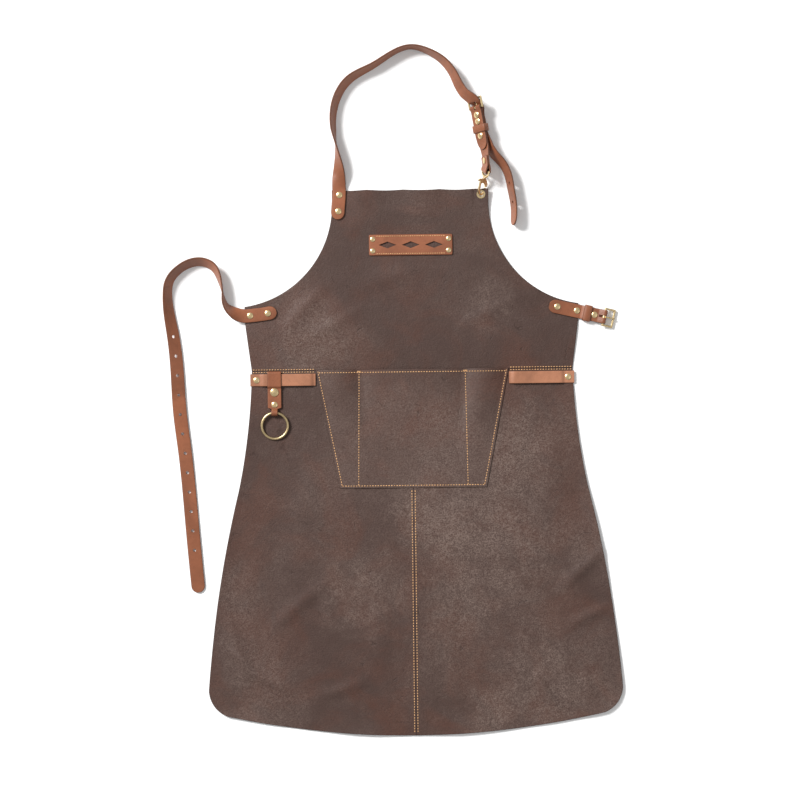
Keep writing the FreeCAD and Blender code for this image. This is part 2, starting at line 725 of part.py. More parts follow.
NECK = neck_course()
BUCKLE = buckle_course()
FOLD = size("fold_leather")
BAR_CORNER = 1.06  # how far a bar's rounded corner is from its middle, in half thicknesses
FOLD_RADIUS = amount(f"{BAR_CORNER}*buckle_bar + bar_play + 0.5*fold_leather")
EYE_FOLD_RADIUS = amount("0.7*clasp_wire + 0.65 + 0.5*fold_leather")
LAYER = FOLD / 2 + 0.05
BAR_RUN = BUCKLE.marks[1][0]
EYE_RUN = BUCKLE.marks[-2][0]
BUCKLE_RIVETS = [BAR_RUN + 10.4, BAR_RUN + 19.9, BAR_RUN + 41, EYE_RUN - 14.5]


def make_neck_strap():
    width, thick = size("strap_width"), size("strap_thick")
    bar = NECK.run_at(BAR)
    # under the front bar, up through the window, over the heel bar's fold and through the keeper
    weave = Part.BSplineCurve()
    weave.interpolate([Vector(bar + x, z, 0) for x, z in (
        (-38, 0), (-26, -2.2), (-14.5, -3.5), (-10.5, -2.3), (-4.3, 4.3), (0, 5.9), (5, 5.4),
        (12, 3.85), (20, 3.75), (30, 3.95), (42, 4.3), (62, 0))])
    woven = [(point.x, point.y) for point in weave.discretize(44)]
    runs = strap_runs(0, NECK.length, 6)
    route = [(run, 0) for run in runs if run < bar - 42]
    route += woven + [(run, 0) for run in runs if run > bar + 62]
    route = [(run, height, min(nose(run, width), nose(NECK.length - run, width)))
             for run, height in route]
    shape = folded(NECK, route, width, thick)
    shape = punched(shape, [flat_place(*place) for place in NECK_RIVETS], amount("rivet_post + play"))
    slot = Part.makeBox(8.5, amount("prong_width + 2*bar_play"), 10)
    slot.translate(Vector(-10, -amount("0.5*prong_width + bar_play"), -2.5))
    slot.Placement = NECK_BUCKLE.multiply(slot.Placement)
    shape = shape.cut(slot)
    tail = NECK.length - size("hole_from_tip")
    holes = [NECK.seat(tail + step * size("hole_pitch")) for step in (0, 1)]
    return feature("neck_strap", punched(shape, holes, size("strap_hole"), -4, 4))


def make_buckle_strap():
    """One strip folded round the buckle's bar at one end and the clasp's eye at the other."""
    width = size("strap_width")
    route = [(EYE_RUN - 21, -LAYER, width * 0.8), (EYE_RUN - 19.5, -LAYER, width),
             (EYE_RUN - 9.6, -LAYER, width), (EYE_RUN - 8.8, -LAYER - 0.1, width),
              (EYE_RUN - 4, -EYE_FOLD_RADIUS * 0.75, width)]
    route += turn(EYE_RUN, 0, EYE_FOLD_RADIUS, -90, 90, width)
    route += [(EYE_RUN - 4, EYE_FOLD_RADIUS * 0.75, width), (EYE_RUN - 8.8, LAYER + 0.1, width),
              (EYE_RUN - 9.6, LAYER, width)]
    route += [(run, LAYER, width) for run in reversed(spaced(BAR_RUN + 12, EYE_RUN - 13, 6))]
    route += [(BAR_RUN + 6.2, LAYER, width), (BAR_RUN + 5.4, LAYER + 0.1, width)]
    route += turn(BAR_RUN, 0, FOLD_RADIUS, 90, 270, width)
    route += [(BAR_RUN + 4.6, -LAYER - 0.15, width), (BAR_RUN + 5.4, -LAYER, width)]
    route += [(run, -LAYER, width) for run in spaced(BAR_RUN + 10, BAR_RUN + 46, 6)]
    route += [(BAR_RUN + 61 - short, -LAYER, nose(short, width)) for short in (10, 6, 3, 1, 0)]
    shape = folded(BUCKLE, route, width, FOLD)
    places = [BUCKLE.seat(run) for run in BUCKLE_RIVETS]
    shape = punched(shape, places, amount("rivet_post + play"))
    shape = punched(shape, places, amount("rivet_back + play"), FOLD + 0.05 - 0.9, FOLD + 2)
    return feature("buckle_strap", cut_prong_slot(shape, NECK_BUCKLE))


def cut_prong_slot(shape, place, lead=0.0):
    """The slot that lets the prong's collar turn in the fold.

    It runs on by lead in the front leaf, so that the prong can fold back over the strap."""
    reach = amount("buckle_bar + bar_play + prong_collar + bar_play") + 0.6
    half = amount("0.5*prong_width + bar_play")
    slot = Part.makeBox(2 * reach, 2 * half, 2 * reach + 1)
    slot.translate(Vector(-reach - 0.8, -half, -reach - 0.5))
    if lead:
        front = Part.makeBox(reach + lead, 2 * half, 2 * reach)
        front.translate(Vector(0, -half, 0))
        slot = slot.fuse(front)
    slot.Placement = place.multiply(slot.Placement)
    return shape.cut(slot)


def long_point(x, y, roll, lift=0.0):
    """A stop of the long tie strap, from the left wing's corner."""
    turn = math.radians(roll)
    rise = abs(math.sin(turn)) * size("strap_width") / 2 + abs(math.cos(turn)) * size("strap_thick") / 2
    place = Vector(-amount(WING) + x, size("wing_height") + y, rise + FLOOR_AIR + lift)
    return place, roll


def long_course():
    """Off the left wing, over on its edge in a loop, and down beside the skirt, back side up."""
    flat = THICK + 0.05 - FLOOR_AIR
    return Course([
        long_point(46.7, -7.2, 0, flat), long_point(34.1, -9.9, 0, flat),
        long_point(20, -11.8, 0, flat), long_point(8.3, -13, 0, flat + 0.15),
        long_point(-2, -13.2, 0, flat + 0.55), long_point(-9.5, -11.4, -18, 1.4),
        long_point(-18, -6.5, -45, 0.6), long_point(-26.5, 2.4, -72, 0.2), long_point(-31, 21, -94),
        long_point(-35, 39, -108), long_point(-44.5, 58.6, -122), long_point(-60, 65.9, -124),
        long_point(-75.5, 65, -122), long_point(-93.5, 56, -119), long_point(-108.6, 38, -120),
        long_point(-111.5, 17.5, -124), long_point(-109.5, -8, -134), long_point(-104.6, -38, -145),
        long_point(-99, -94, -158), long_point(-96, -151, -170, 0.3), long_point(-89.5, -209, -180, 0.3),
        long_point(-79.5, -325, -180, 0.1), long_point(-71.6, -416.5, -180)])


LONG = long_course()


def make_long_strap():
    width, thick = size("strap_width"), size("strap_thick")
    sections = []
    for run in strap_runs(0, LONG.length, 6):
        wide = min(nose(run, width), nose(LONG.length - run, width))
        sections.append(slab(LONG.seat(run), wide, thick))
    shape = ribbon(sections)
    shape = punched(shape, [flat_place(*place) for place in LONG_RIVETS], amount("rivet_post + play"))
    last = LONG.length - size("hole_from_tip")
    count = int(size("hole_count"))
    holes = [LONG.seat(last - step * size("hole_pitch")) for step in range(count)]
    return feature("side_strap_long", punched(shape, holes, size("strap_hole"), -4, 4))


SHORT_START = Vector(amount("waist_half - 33.7"), amount("wing_height - 2.4"), 0)
SIDE_BAR = Vector(amount("waist_half + 46.5"), amount("wing_height - 20.9"), 5.8)
SIDE_SEAT = seat(SIDE_BAR, Vector(SHORT_START.x - SIDE_BAR.x, SHORT_START.y - SIDE_BAR.y, 0).normalize(), 0)
SIDE_COURSE = Course([(SIDE_SEAT.multVec(Vector(x, 0, 0)), 0) for x in (-6, 0, 40, 90)])
SIDE_RUN = 6.0  # where the bar stands on that course
SIDE_LOW = -FOLD_RADIUS
SIDE_HIGH = SIDE_LOW + FOLD + 0.1
SIDE_ON_BIB = THICK + FOLD / 2 - SIDE_BAR.z


def make_short_strap():
    """A strip that is riveted to the right wing and folded back round the side buckle's bar."""
    width = size("strap_width")
    tip = (SHORT_START - Vector(SIDE_BAR.x, SIDE_BAR.y, 0)).Length
    route = [(31, SIDE_LOW, width), (16, SIDE_LOW, width), (5, SIDE_LOW, width)]
    route += turn(0, 0, FOLD_RADIUS, 270, 70, width)
    route += [(8.4, SIDE_HIGH + 0.25, width), (9.6, SIDE_HIGH, width), (18, SIDE_HIGH, width),
              (30.8, SIDE_HIGH, width), (34.2, SIDE_ON_BIB + 0.1, width), (35.0, SIDE_ON_BIB, width),
              (50, SIDE_ON_BIB, width)]
    route += [(tip - short, SIDE_ON_BIB, nose(short, width)) for short in (10, 6, 3, 1, 0)]
    route = [(run + SIDE_RUN, height, wide) for run, height, wide in route]
    shape = folded(SIDE_COURSE, route, width, FOLD)
    post = amount("rivet_post + play")
    shape = punched(shape, [flat_place(*place) for place in SHORT_RIVETS], post)
    fold = SIDE_SEAT.multiply(Placement(Vector(14.4, 0, 0), Rotation()))
    shape = punched(shape, [fold], post, -12, 12)
    shape = punched(shape, [fold], amount("rivet_back + play"), SIDE_LOW - FOLD, SIDE_LOW - FOLD / 2 + 0.85)
    return feature("side_strap_short", cut_prong_slot(shape, SIDE_SEAT, 3.2))


# ---------------------------------------------------------------- buckles, prongs and keepers


def make_buckle(label, place):
    """A plain frame with one window; the strap folds round its heel bar, which lies on Y."""
    body = new_body(label)
    sketch = new_sketch(body, lift="-1*buckle_bar")
    side, minus = "0.5*strap_width + window_play", "-0.5*strap_width - window_play"
    front, heel = "-1*buckle_reach", "-1*buckle_bar"
    outline(sketch, [(front + " - buckle_bar", minus + " - 2*buckle_bar"),
                     ("buckle_bar", minus + " - 2*buckle_bar"),
                     ("buckle_bar", side + " + 2*buckle_bar"),
                     (front + " - buckle_bar", side + " + 2*buckle_bar")])
    outline(sketch, [(front + " + buckle_bar", minus), (heel, minus), (heel, side),
                     (front + " + buckle_bar", side)])
    pad(body, sketch, "2*buckle_bar")
    fillet_all(body, 1.0)
    body.Placement = place
    return body


def make_prong(label, place):
    """A wire prong with a collar that turns on the heel bar; its tip lies on the front bar."""
    collar = amount(f"{BAR_CORNER}*buckle_bar + bar_play + prong_collar")
    wire = size("prong_wire")
    tube = Part.makeCylinder(collar, size("prong_width"), Vector(0, -size("prong_width") / 2, 0),
                             Vector(0, 1, 0))
    height = size("buckle_bar") + wire + 0.1
    shaft = Part.makeCylinder(wire, size("buckle_reach") - 0.9, Vector(-1.6, 0, height), Vector(-1, 0, 0))
    tip = Part.makeSphere(wire, Vector(-amount("buckle_reach + 0.7"), 0, height))
    bore = Part.makeCylinder(amount(f"{BAR_CORNER}*buckle_bar + 0.5*bar_play"), 12, Vector(0, -6, 0),
                             Vector(0, 1, 0))
    shape = tube.fuse([shaft, tip]).cut(bore).removeSplitter()
    return feature(label, shape, place)


def make_keeper(label, place, room, low):
    """A leather loop round the strap; its inside is room high and starts at low."""
    body = new_body(label)
    sketch = new_sketch(body, "YZ_Plane")
    inside, outside = "0.5*strap_width + 2*play", "0.5*strap_width + 2*play + keeper_thick"
    minus = "-0.5*strap_width - 2*play"
    outline(sketch, [(minus + " - keeper_thick", "-1*keeper_thick"), (outside, "-1*keeper_thick"),
                     (outside, room + " + keeper_thick"), (minus + " - keeper_thick", room + " + keeper_thick")])
    outline(sketch, [(minus, "0"), (inside, "0"), (inside, room), (minus, room)])
    pad(body, sketch, "keeper_length")
    body.Placement = place.multiply(Placement(Vector(0, 0, low), Rotation()))
    return body


# ---------------------------------------------------------------- tool ring and hanger

HANGER_X = -size("hanger_across")
LEAF = size("hanger_thick")
BACK_Z = THICK + 0.1 + LEAF / 2
BAND_LOW = THICK + size("band_bow")
BAND_HIGH = BAND_LOW + size("band_thick")
FRONT_Z = BAND_HIGH + 0.4 + LEAF / 2
JOIN_Z = BACK_Z + LEAF + 0.1
THROAT = size("ring_throat")
RING_Z = BACK_Z + LEAF / 2 + THROAT
RING_AXIS = Vector(HANGER_X, -size("ring_axis_drop"), RING_Z)


def make_hanger():
    """A short strip folded over the waist band above and round the ring below."""
    width, neck = size("strap_width"), 2 * size("hanger_neck_half")
    top, middle = -size("band_drop") + 0.6, (BACK_Z + FRONT_Z) / 2
    axis = -size("ring_axis_drop")
    loop = (BACK_Z + RING_Z + THROAT + LEAF / 2) / 2
    radius = THROAT + LEAF / 2
    down = -size("band_drop") - size("band_width")
    route = [(axis + 5.2, BACK_Z, neck), (axis + 7.5, BACK_Z, width), (down, BACK_Z, width)]
    route += turn(top, middle, (FRONT_Z - BACK_Z) / 2, -90, 90, width)
    route += [(down, FRONT_Z, width), (down - 3, JOIN_Z, width), (axis + 7.0, JOIN_Z, width),
              (axis + 5.6, JOIN_Z + 0.8, neck)]
    route += turn(axis, loop, radius, 15, 270, neck)
    # the strip's back end meets the fold's lower side under the ring
    route = route[:-1] + [(axis + 1, BACK_Z, neck), (axis + 4.6, BACK_Z, neck)]
    course = Course([(Vector(HANGER_X, y, 0), 0) for y in (-100, -60, -20, 20)])
    route = [(y + 100, z, wide) for y, z, wide in route]
    shape = folded(course, route, width, LEAF)
    rivet_place = Placement(Vector(HANGER_X, -size("hanger_rivet_drop"), 0), Rotation())
    stud_place = Placement(Vector(HANGER_X, -size("hanger_stud_drop"), 0), Rotation())
    shape = punched(shape, [rivet_place], amount("rivet_post + play"))
    shape = punched(shape, [stud_place], amount("stud_post + play"))
    return feature("hanger_strap", punched(
        shape, [rivet_place, stud_place], amount("rivet_back + play"), 0, THICK + 0.1 + 0.85))


def make_stud_post():
    """The lower half of the press stud: a flange under the back leaf and a headed post."""
    body = new_body("stud_post")
    low, disc = THICK + 0.2, THICK + 0.2 + size("rivet_back_thick")
    top = JOIN_Z + LEAF / 2 + 0.9
    revolve(body, [("0", str(low)), ("rivet_back", str(low)), ("rivet_back", str(disc)),
                   ("stud_post", str(disc)), ("stud_post", str(top)), ("0", str(top))])
    body.Placement = Placement(Vector(HANGER_X, -size("hanger_stud_drop"), 0), Rotation())
    return body


def make_stud_cap():
    """The upper half: a domed cap whose socket snaps over the post."""
    body = new_body("stud_cap")
    low = JOIN_Z + LEAF / 2
    revolve(body, [("stud_post + play", str(low)), ("stud_cap - 0.6", str(low)), ("stud_cap", str(low + 0.8)),
                   ("0.62*stud_cap", str(low + 2.2)), ("0", str(low + 2.6)), ("0", str(low + 1.1)),
                   ("stud_post + play", str(low + 1.1))])
    body.Placement = Placement(Vector(HANGER_X, -size("hanger_stud_drop"), 0), Rotation())
    return body


def make_ring():
    """The tool ring, hung in the fold and leaning down until its far side rests on the skirt."""
    ring = doc.addObject("Part::Torus", "tool_ring")
    ring.Label = "tool_ring"
    ring.setExpression("Radius1", "Sizes.ring_radius")
    ring.setExpression("Radius2", "Sizes.ring_wire")
    far = THICK + size("ring_wire") + 0.15
    lean = math.degrees(math.asin((RING_Z - far) / (2 * size("ring_radius"))))
    tilt = Placement(Vector(), Rotation(Vector(1, 0, 0), lean))
    ring.Placement = Placement(RING_AXIS, Rotation()).multiply(tilt).multiply(
        Placement(Vector(0, -size("ring_radius"), 0), Rotation()))
    return ring


# ---------------------------------------------------------------- the whole apron


def build():
    pieces = [make_bib(), make_skirt("skirt_right", 1), make_skirt("skirt_left", -1), make_pocket(),
              make_patch(), make_band("waist_band_right", 1), make_band("waist_band_left", -1)]
    pieces += [make_neck_strap(), make_buckle_strap(), make_long_strap(), make_short_strap()]
    pieces += [make_eyelet(), make_clasp_eye(), make_hook(), make_trigger(), make_clasp_pin()]
    pieces[-4].Placement = CLASP_EYE
    pieces[-3].Placement = CLASP
    pieces[-2].Placement = CLASP
    pitched = SIDE_SEAT.multiply(Placement(Vector(), Rotation(Vector(0, 1, 0), -SIDE_DROP)))
    pieces += [make_buckle("neck_buckle", NECK_BUCKLE), make_prong("neck_prong", NECK_BUCKLE),
               make_buckle("side_buckle", pitched), make_prong("side_prong", pitched)]
    low = -FOLD - 0.05 - 2 * size("play")
    neck_keeper = NECK_BUCKLE.multiply(Placement(Vector(25, 0, 0), Rotation()))
    side_keeper = SIDE_SEAT.multiply(Placement(Vector(19.3, 0, 0), Rotation()))
    pieces += [make_keeper("neck_keeper", neck_keeper, "neck_keeper_room", low),
               make_keeper("side_keeper", side_keeper, "side_keeper_room",
                           SIDE_LOW - FOLD / 2 - 2 * size("play"))]
    pieces += [make_hanger(), make_stud_post(), make_stud_cap(), make_ring()]
    pieces += make_rivets()
    return pieces


def make_rivets():
    strap_top, band_top = STRAP_TOP, THICK + size("band_thick")
    patch_top = THICK + size("patch_thick")
    back_cap = Placement(Vector(), Rotation(Vector(1, 0, 0), 180))
    buckle_places = [BUCKLE.seat(run).multiply(back_cap) for run in BUCKLE_RIVETS]
    fold_place = SIDE_SEAT.multiply(Placement(Vector(14.4, 0, 0), Rotation()))
    hanger_place = Placement(Vector(HANGER_X, -size("hanger_rivet_drop"), 0), Rotation())
    layers = FOLD + 0.05
    return [
        rivets("patch_rivets", [flat_place(*p) for p in PATCH_RIVETS], BACK, patch_top, "patch_rivet_cap"),
        rivets("neck_strap_rivets", [flat_place(*p) for p in NECK_RIVETS], BACK, strap_top),
        rivets("long_strap_rivets", [flat_place(*p) for p in LONG_RIVETS], BACK, strap_top + 0.3),
        rivets("short_strap_rivets", [flat_place(*p) for p in SHORT_RIVETS], BACK, FOLD_TOP),
        rivets("short_fold_rivet", [fold_place], SIDE_LOW - FOLD / 2 + 0.1, SIDE_HIGH + FOLD / 2),
        rivets("band_rivet_right", [flat_place(BAND_RIVET, BAND_MIDDLE)], BACK, band_top),
        rivets("band_rivet_left", [flat_place(mirrored(BAND_RIVET), BAND_MIDDLE)], BACK, band_top),
        rivets("hanger_rivet", [hanger_place], THICK + 0.25, JOIN_Z + LEAF / 2),
        rivets("buckle_strap_rivets", buckle_places, -layers + 0.15, layers + 0.15),
    ]


SIDE_DROP = 12  # degrees that the side buckle leans down to the floor


def check(pieces):
    for item in doc.Objects:
        if "Invalid" in item.State or "Error" in item.State:
            raise RuntimeError(f"{item.Label} failed: {item.State}")
    for piece in pieces:
        shape = piece.Shape
        if shape.isNull() or not shape.isValid() or not shape.Solids or shape.Volume <= 0:
            raise RuntimeError(f"{piece.Label} is not a sound solid")


pieces = build()
doc.recompute()
check(pieces)
for piece in pieces:
    piece.Shape.exportStep(f"parts/{piece.Label}.step")
    print(f"{piece.Label:22s} solids {len(piece.Shape.Solids)}  volume {piece.Shape.Volume:12.1f}")
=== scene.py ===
import math

import bmesh
import bpy
import numpy as np
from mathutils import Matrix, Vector


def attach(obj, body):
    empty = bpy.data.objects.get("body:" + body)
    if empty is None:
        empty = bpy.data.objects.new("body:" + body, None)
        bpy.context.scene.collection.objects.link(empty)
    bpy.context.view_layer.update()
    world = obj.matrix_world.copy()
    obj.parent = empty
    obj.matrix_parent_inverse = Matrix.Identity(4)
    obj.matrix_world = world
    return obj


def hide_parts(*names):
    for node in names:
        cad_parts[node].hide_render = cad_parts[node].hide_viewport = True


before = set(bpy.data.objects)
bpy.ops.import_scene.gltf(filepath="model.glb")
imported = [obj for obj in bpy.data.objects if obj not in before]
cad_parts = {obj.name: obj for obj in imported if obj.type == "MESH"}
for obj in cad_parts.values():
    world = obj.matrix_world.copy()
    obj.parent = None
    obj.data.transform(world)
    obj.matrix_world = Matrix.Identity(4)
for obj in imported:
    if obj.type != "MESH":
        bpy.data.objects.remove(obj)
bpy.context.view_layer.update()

bl_info = {
    "name": "Leather apron",
    "version": (1, 0, 0),
    "blender": (4, 5, 0),
    "location": "3D View > Sidebar > Apron",
    "description": "A riveted leather bib apron, laid flat",
    "category": "Add Mesh",
}

MM = 0.001
UP = np.array([0.0, 0.0, 1.0])

# the apron's own measures, in millimetres; the waist seam lies on y = 0
WAIST, WING, WING_TOP, WING_LOW = 234.5, 244.0, 94.4, 73.4
BIB_HALF, BIB_TOP, ARMHOLE_TOP = 114.5, 263.4, 243.4
HIP, HEM_SIDE, HEM_CORNER, HEM = (255.0, -173.0), (302.5, -466.0), (276.0, -503.6), -534.6
POCKET_TOP, POCKET_LOW, POCKET_HALF, POCKET_LOW_HALF, DIVIDER = 0.8, -172.8, 141.0, 107.4, 77.5
PATCH_Y, PATCH_HALF, PATCH_RISE = 182.4, 61.2, 15.4
BAND_Y, BAND_IN, BAND_OUT, BAND_BOW, BAND_THICK = -13.1, 141.3, 236.6, 2.2, 2.0
HANGER_X = -201.5
RING_RADIUS, RING_WIRE = 19, 1.9
EYELET, EYELET_HOLE = (104.0, 255.4), 4.5
HOLE_RADIUS, HOLE_FROM_TIP, HOLE_PITCH, HOLE_COUNT = 2.3, 62, 28.5, 12
SEAT_FLAT = 1.35  # a strap that lies on a panel, above one that lies on the floor


# ------------------------------------------------------------------ settings


def length_setting(name, description, millimetres):
    return bpy.props.FloatProperty(
        name=name, description=description, default=millimetres * MM, unit="LENGTH")


def colour_setting(name, description, *linear):
    return bpy.props.FloatVectorProperty(
        name=name, description=description, default=(*linear, 1), size=4, subtype="COLOR")


class ApronSettings(bpy.types.PropertyGroup):
    leather_thick: length_setting("Leather", "Thickness of the panels", 1.6)
    pocket_thick: length_setting("Pocket leather", "Thickness of the pocket row", 1.4)
    strap_width: length_setting("Strap width", "Width of every strap", 20)
    strap_thick: length_setting("Strap leather", "Thickness of the neck and tie straps", 2.4)
    stitch_pitch: length_setting("Stitch", "Length of one stitch", 3.9)
    ripple: length_setting("Ripple", "Height of the leather's waves", 1.6)
    hide: colour_setting("Apron leather", "Colour of the waxed leather", 0.060, 0.034, 0.027)
    # pale pull-up colour of the leather; the spots of painted sheen use it too
    hide_pull_and_sheen: colour_setting("Worn leather", "Colour where the wax is pulled up", 0.165, 0.117, 0.098)
    tan: colour_setting("Strap leather", "Colour of the straps", 0.222, 0.076, 0.035)
    tan_pale: colour_setting("Band leather", "Colour of the waist bands", 0.32, 0.136, 0.074)
    brass: colour_setting("Brass", "Colour of rivets and buckles", 0.78, 0.60, 0.33)
    thread: colour_setting("Thread", "Colour of the sewing thread", 0.66, 0.38, 0.18)


# ------------------------------------------------------------------ shader maths


class Wire:
    """One output of a node tree. Arithmetic on it adds Math nodes."""

    def __init__(self, tree, socket):
        self.tree, self.socket = tree, socket

    def math(self, operation, first, second):
        return self.tree.node("ShaderNodeMath", {"operation": operation}, {0: first, 1: second})

    def __add__(self, other):
        return self.math("ADD", self, other)

    __radd__ = __add__

    def __sub__(self, other):
        return self.math("SUBTRACT", self, other)

    def __rsub__(self, other):
        return self.math("SUBTRACT", other, self)

    def __mul__(self, other):
        return self.math("MULTIPLY", self, other)

    __rmul__ = __mul__

    def ramp(self, low, high, out_low=0.0, out_high=1.0):
        """Rises smoothly from out_low to out_high while the value goes from low to high."""
        return self.tree.node(
            "ShaderNodeMapRange", {"interpolation_type": "SMOOTHSTEP"},
            {"Value": self, "From Min": low, "From Max": high, "To Min": out_low, "To Max": out_high})


class Finish:
    """A material with its Principled shader."""

    def __init__(self, name, **constants):
        self.material = bpy.data.materials.new(name)
        self.material.use_nodes = True
        self.nodes = self.material.node_tree.nodes
        self.links = self.material.node_tree.links
        self.shader = self.nodes["Principled BSDF"]
        for socket, number in constants.items():
            self.shader.inputs[socket.replace("_", " ")].default_value = number

    def node(self, kind, settings=None, inputs=None, out=0):
        """A node of a kind, with its settings and then the values or links of its inputs."""
        node = self.nodes.new(kind)
        for key, value in (settings or {}).items():
            setattr(node, key, value)
        for key, value in (inputs or {}).items():
            if isinstance(value, Wire):
                self.links.new(value.socket, node.inputs[key])
            else:
                node.inputs[key].default_value = value
        return Wire(self, node.outputs[out])

    def place(self):
        return self.node("ShaderNodeTexCoord", out="Object")

    def noise(self, scale, detail, roughness, distortion=0.0):
        return self.node("ShaderNodeTexNoise", None,
                         {"Vector": self.place(), "Scale": scale, "Detail": detail,
                          "Roughness": roughness, "Distortion": distortion})

    def cells(self, scale, feature="F1", at=None):
        return self.node("ShaderNodeTexVoronoi", {"feature": feature},
                         {"Vector": at or self.place(), "Scale": scale})

    def attribute(self, name):
        return self.node("ShaderNodeAttribute", {"attribute_name": name}, out="Fac")

    def mix(self, share, first, second):
        """Blends two colours by a share from 0 to 1."""
        return self.node("ShaderNodeMix", {"data_type": "RGBA", "clamp_factor": True},
                         {0: share, 6: first, 7: second}, out=2)

    def bump(self, height, distance, strength):
        return self.node("ShaderNodeBump", None,
                         {"Strength": strength, "Distance": distance, "Height": height})

    def give(self, **wires):
        for socket, wire in wires.items():
            self.links.new(wire.socket, self.shader.inputs[socket.replace("_", " ")])
        return self.material


def shade(colour, share):
    """The same colour, darker or lighter by a share."""
    return tuple(min(1.0, c * share) for c in colour[:3]) + (1.0,)


def waxed_leather(name, dark, pale, pale_share, sheen_spots=()):
    """Oiled leather: cloudy pull-up, a pebble grain of about a millimetre, scars and fine cracks.
    Each sheen spot is (x, y, reach) in metres: a pale patch of painted sheen and light on the leather."""
    made = Finish(name, IOR=1.42, Specular_IOR_Level=0.34)
    cloud = made.noise(5.2, 4.0, 0.55, 0.5)
    patch = made.noise(2.6, 3.0, 0.5)
    blotch = made.noise(34, 5.0, 0.62, 0.4)
    grit = made.noise(520, 4.0, 0.8)
    grain = made.noise(210, 4.0, 0.75)
    warm = made.noise(11, 3.0, 0.6, 0.8)
    bend = made.node("ShaderNodeTexNoise", None, {"Vector": made.place(), "Scale": 28.0, "Detail": 3.0},
                     out="Color")
    bent = made.node("ShaderNodeVectorMath", {"operation": "MULTIPLY_ADD"},
                     {0: bend, 1: (0.05, 0.05, 0.0), 2: made.place()})
    crease = made.cells(17, "DISTANCE_TO_EDGE", at=bent)
    wrinkle = made.cells(95, "DISTANCE_TO_EDGE", at=bent)
    crack = crease.ramp(0.0, 0.02, 1.0, 0.0) * made.noise(55, 3.0, 0.55).ramp(0.54, 0.68)
    pebble = made.cells(560)
    fine = made.cells(1400)
    # the pull-up clouds are the leather's own tone; the spots added below are painted sheen
    pull_and_sheen = cloud.ramp(0.42, 0.66) * 0.55 + patch.ramp(0.42, 0.62) * 0.3 + blotch.ramp(0.4, 0.7) * 0.22
    # painted sheen: pale patches added to the pull-up where light should brighten the leather
    for x, y, reach in sheen_spots:
        away = made.node("ShaderNodeVectorMath", {"operation": "DISTANCE"},
                         {0: bent, 1: (x, y, 0.0)}, out="Value")
        pull_and_sheen = pull_and_sheen + away.ramp(reach, reach * 0.15, 0.0, 0.85) * blotch.ramp(0.3, 0.6, 0.5, 1.2)
    ruddy = made.mix(warm.ramp(0.4, 0.68), dark, (dark[0] * 1.25, dark[1] * 0.98, dark[2] * 0.86, 1.0))
    share = pull_and_sheen * (grit.ramp(0.38, 0.62, 0.35, 1.4) * grain.ramp(0.36, 0.64, 0.6, 1.3))
    colour = made.mix(share * pale_share, ruddy, pale)
    colour = made.mix(grit.ramp(0.54, 0.34, 0.0, 0.42), colour, shade(dark, 0.55))
    colour = made.mix(pebble.ramp(0.30, 0.75, 0.0, 0.22), colour, shade(dark, 0.55))
    colour = made.mix(crack * 0.34, colour, shade(dark, 0.40))
    rim = made.attribute("rim")
    colour = made.mix(rim.ramp(0.2, 1.0, 0.0, 0.62), colour, shade(dark, 0.5))
    rough = 0.58 - pull_and_sheen * 0.16 + grit * 0.12 + crack * 0.1
    height = (pebble * -0.45 + fine * -0.2 + crack * -0.9 + blotch * 1.1
              + wrinkle.ramp(0.0, 0.16) * 0.22 + grain * 0.5)
    return made.give(Base_Color=colour, Roughness=rough, Normal=made.bump(height, 0.0007, 0.6))


def strap_leather(name, colour_in, rough=0.40):
    """Smooth tan leather with a dark burnished cut edge, faint pores and long cloudy tone."""
    made = Finish(name, IOR=1.45, Specular_IOR_Level=0.40)
    cloud = made.noise(14, 4.0, 0.6, 0.5)
    pores = made.cells(900)
    hair = made.noise(260, 4.0, 0.7)
    lines = made.noise(75, 3.0, 0.6, 1.2)
    colour = made.mix(cloud.ramp(0.3, 0.72), shade(colour_in, 0.78), shade(colour_in, 1.22))
    colour = made.mix(hair.ramp(0.45, 0.8, 0.0, 0.35), colour, shade(colour_in, 0.6))
    colour = made.mix(lines.ramp(0.58, 0.66, 0.0, 0.22), colour, shade(colour_in, 0.55))
    rim = made.attribute("rim")
    colour = made.mix(rim.ramp(0.15, 0.95, 0.0, 0.80), colour, shade(colour_in, 0.34))
    height = pores * -0.4 + hair * 0.8 + lines * 0.5
    return made.give(Base_Color=colour, Roughness=cloud * 0.16 + (rough - 0.06) + rim * 0.12,
                     Normal=made.bump(height, 0.00035, 0.45))


def cast_brass(name, colour, rough):
    """Pale brass with a soft tumbled surface and darker, duller clouds."""
    made = Finish(name, Metallic=1.0)
    cloud = made.noise(190, 3.0, 0.6)
    scratch = made.noise(1400, 2.0, 0.6)
    tone = made.mix(cloud.ramp(0.42, 0.72, 0.0, 0.5), colour, shade(colour, 0.62))
    return made.give(Base_Color=tone, Roughness=cloud * 0.18 + scratch * 0.08 + (rough - 0.12),
                     Normal=made.bump(scratch + cloud * 0.7, 0.00012, 0.4))


def sewing_thread(name, colour):
    """Waxed thread: tone varies stitch by stitch, with a fine twist."""
    made = Finish(name, Roughness=0.62, Specular_IOR_Level=0.3)
    tone = made.noise(330, 2.0, 0.6)
    twist = made.noise(2600, 1.0, 0.5)
    return made.give(Base_Color=made.mix(tone.ramp(0.3, 0.7), shade(colour, 0.66), shade(colour, 1.2)),
                     Normal=made.bump(twist, 0.0002, 0.6))


# pale spots of painted sheen and light on the leather: x, y and reach, in metres
PAINTED_SHEEN_BIB = ((-0.12, 0.07, 0.08), (0.13, 0.12, 0.07))
PAINTED_SHEEN_SKIRT = ((0.18, -0.10, 0.10), (0.15, -0.26, 0.15), (0.06, -0.2, 0.08), (0.21, -0.42, 0.10),
              (-0.05, -0.30, 0.09), (0.13, -0.49, 0.06))
FINISHES = {}


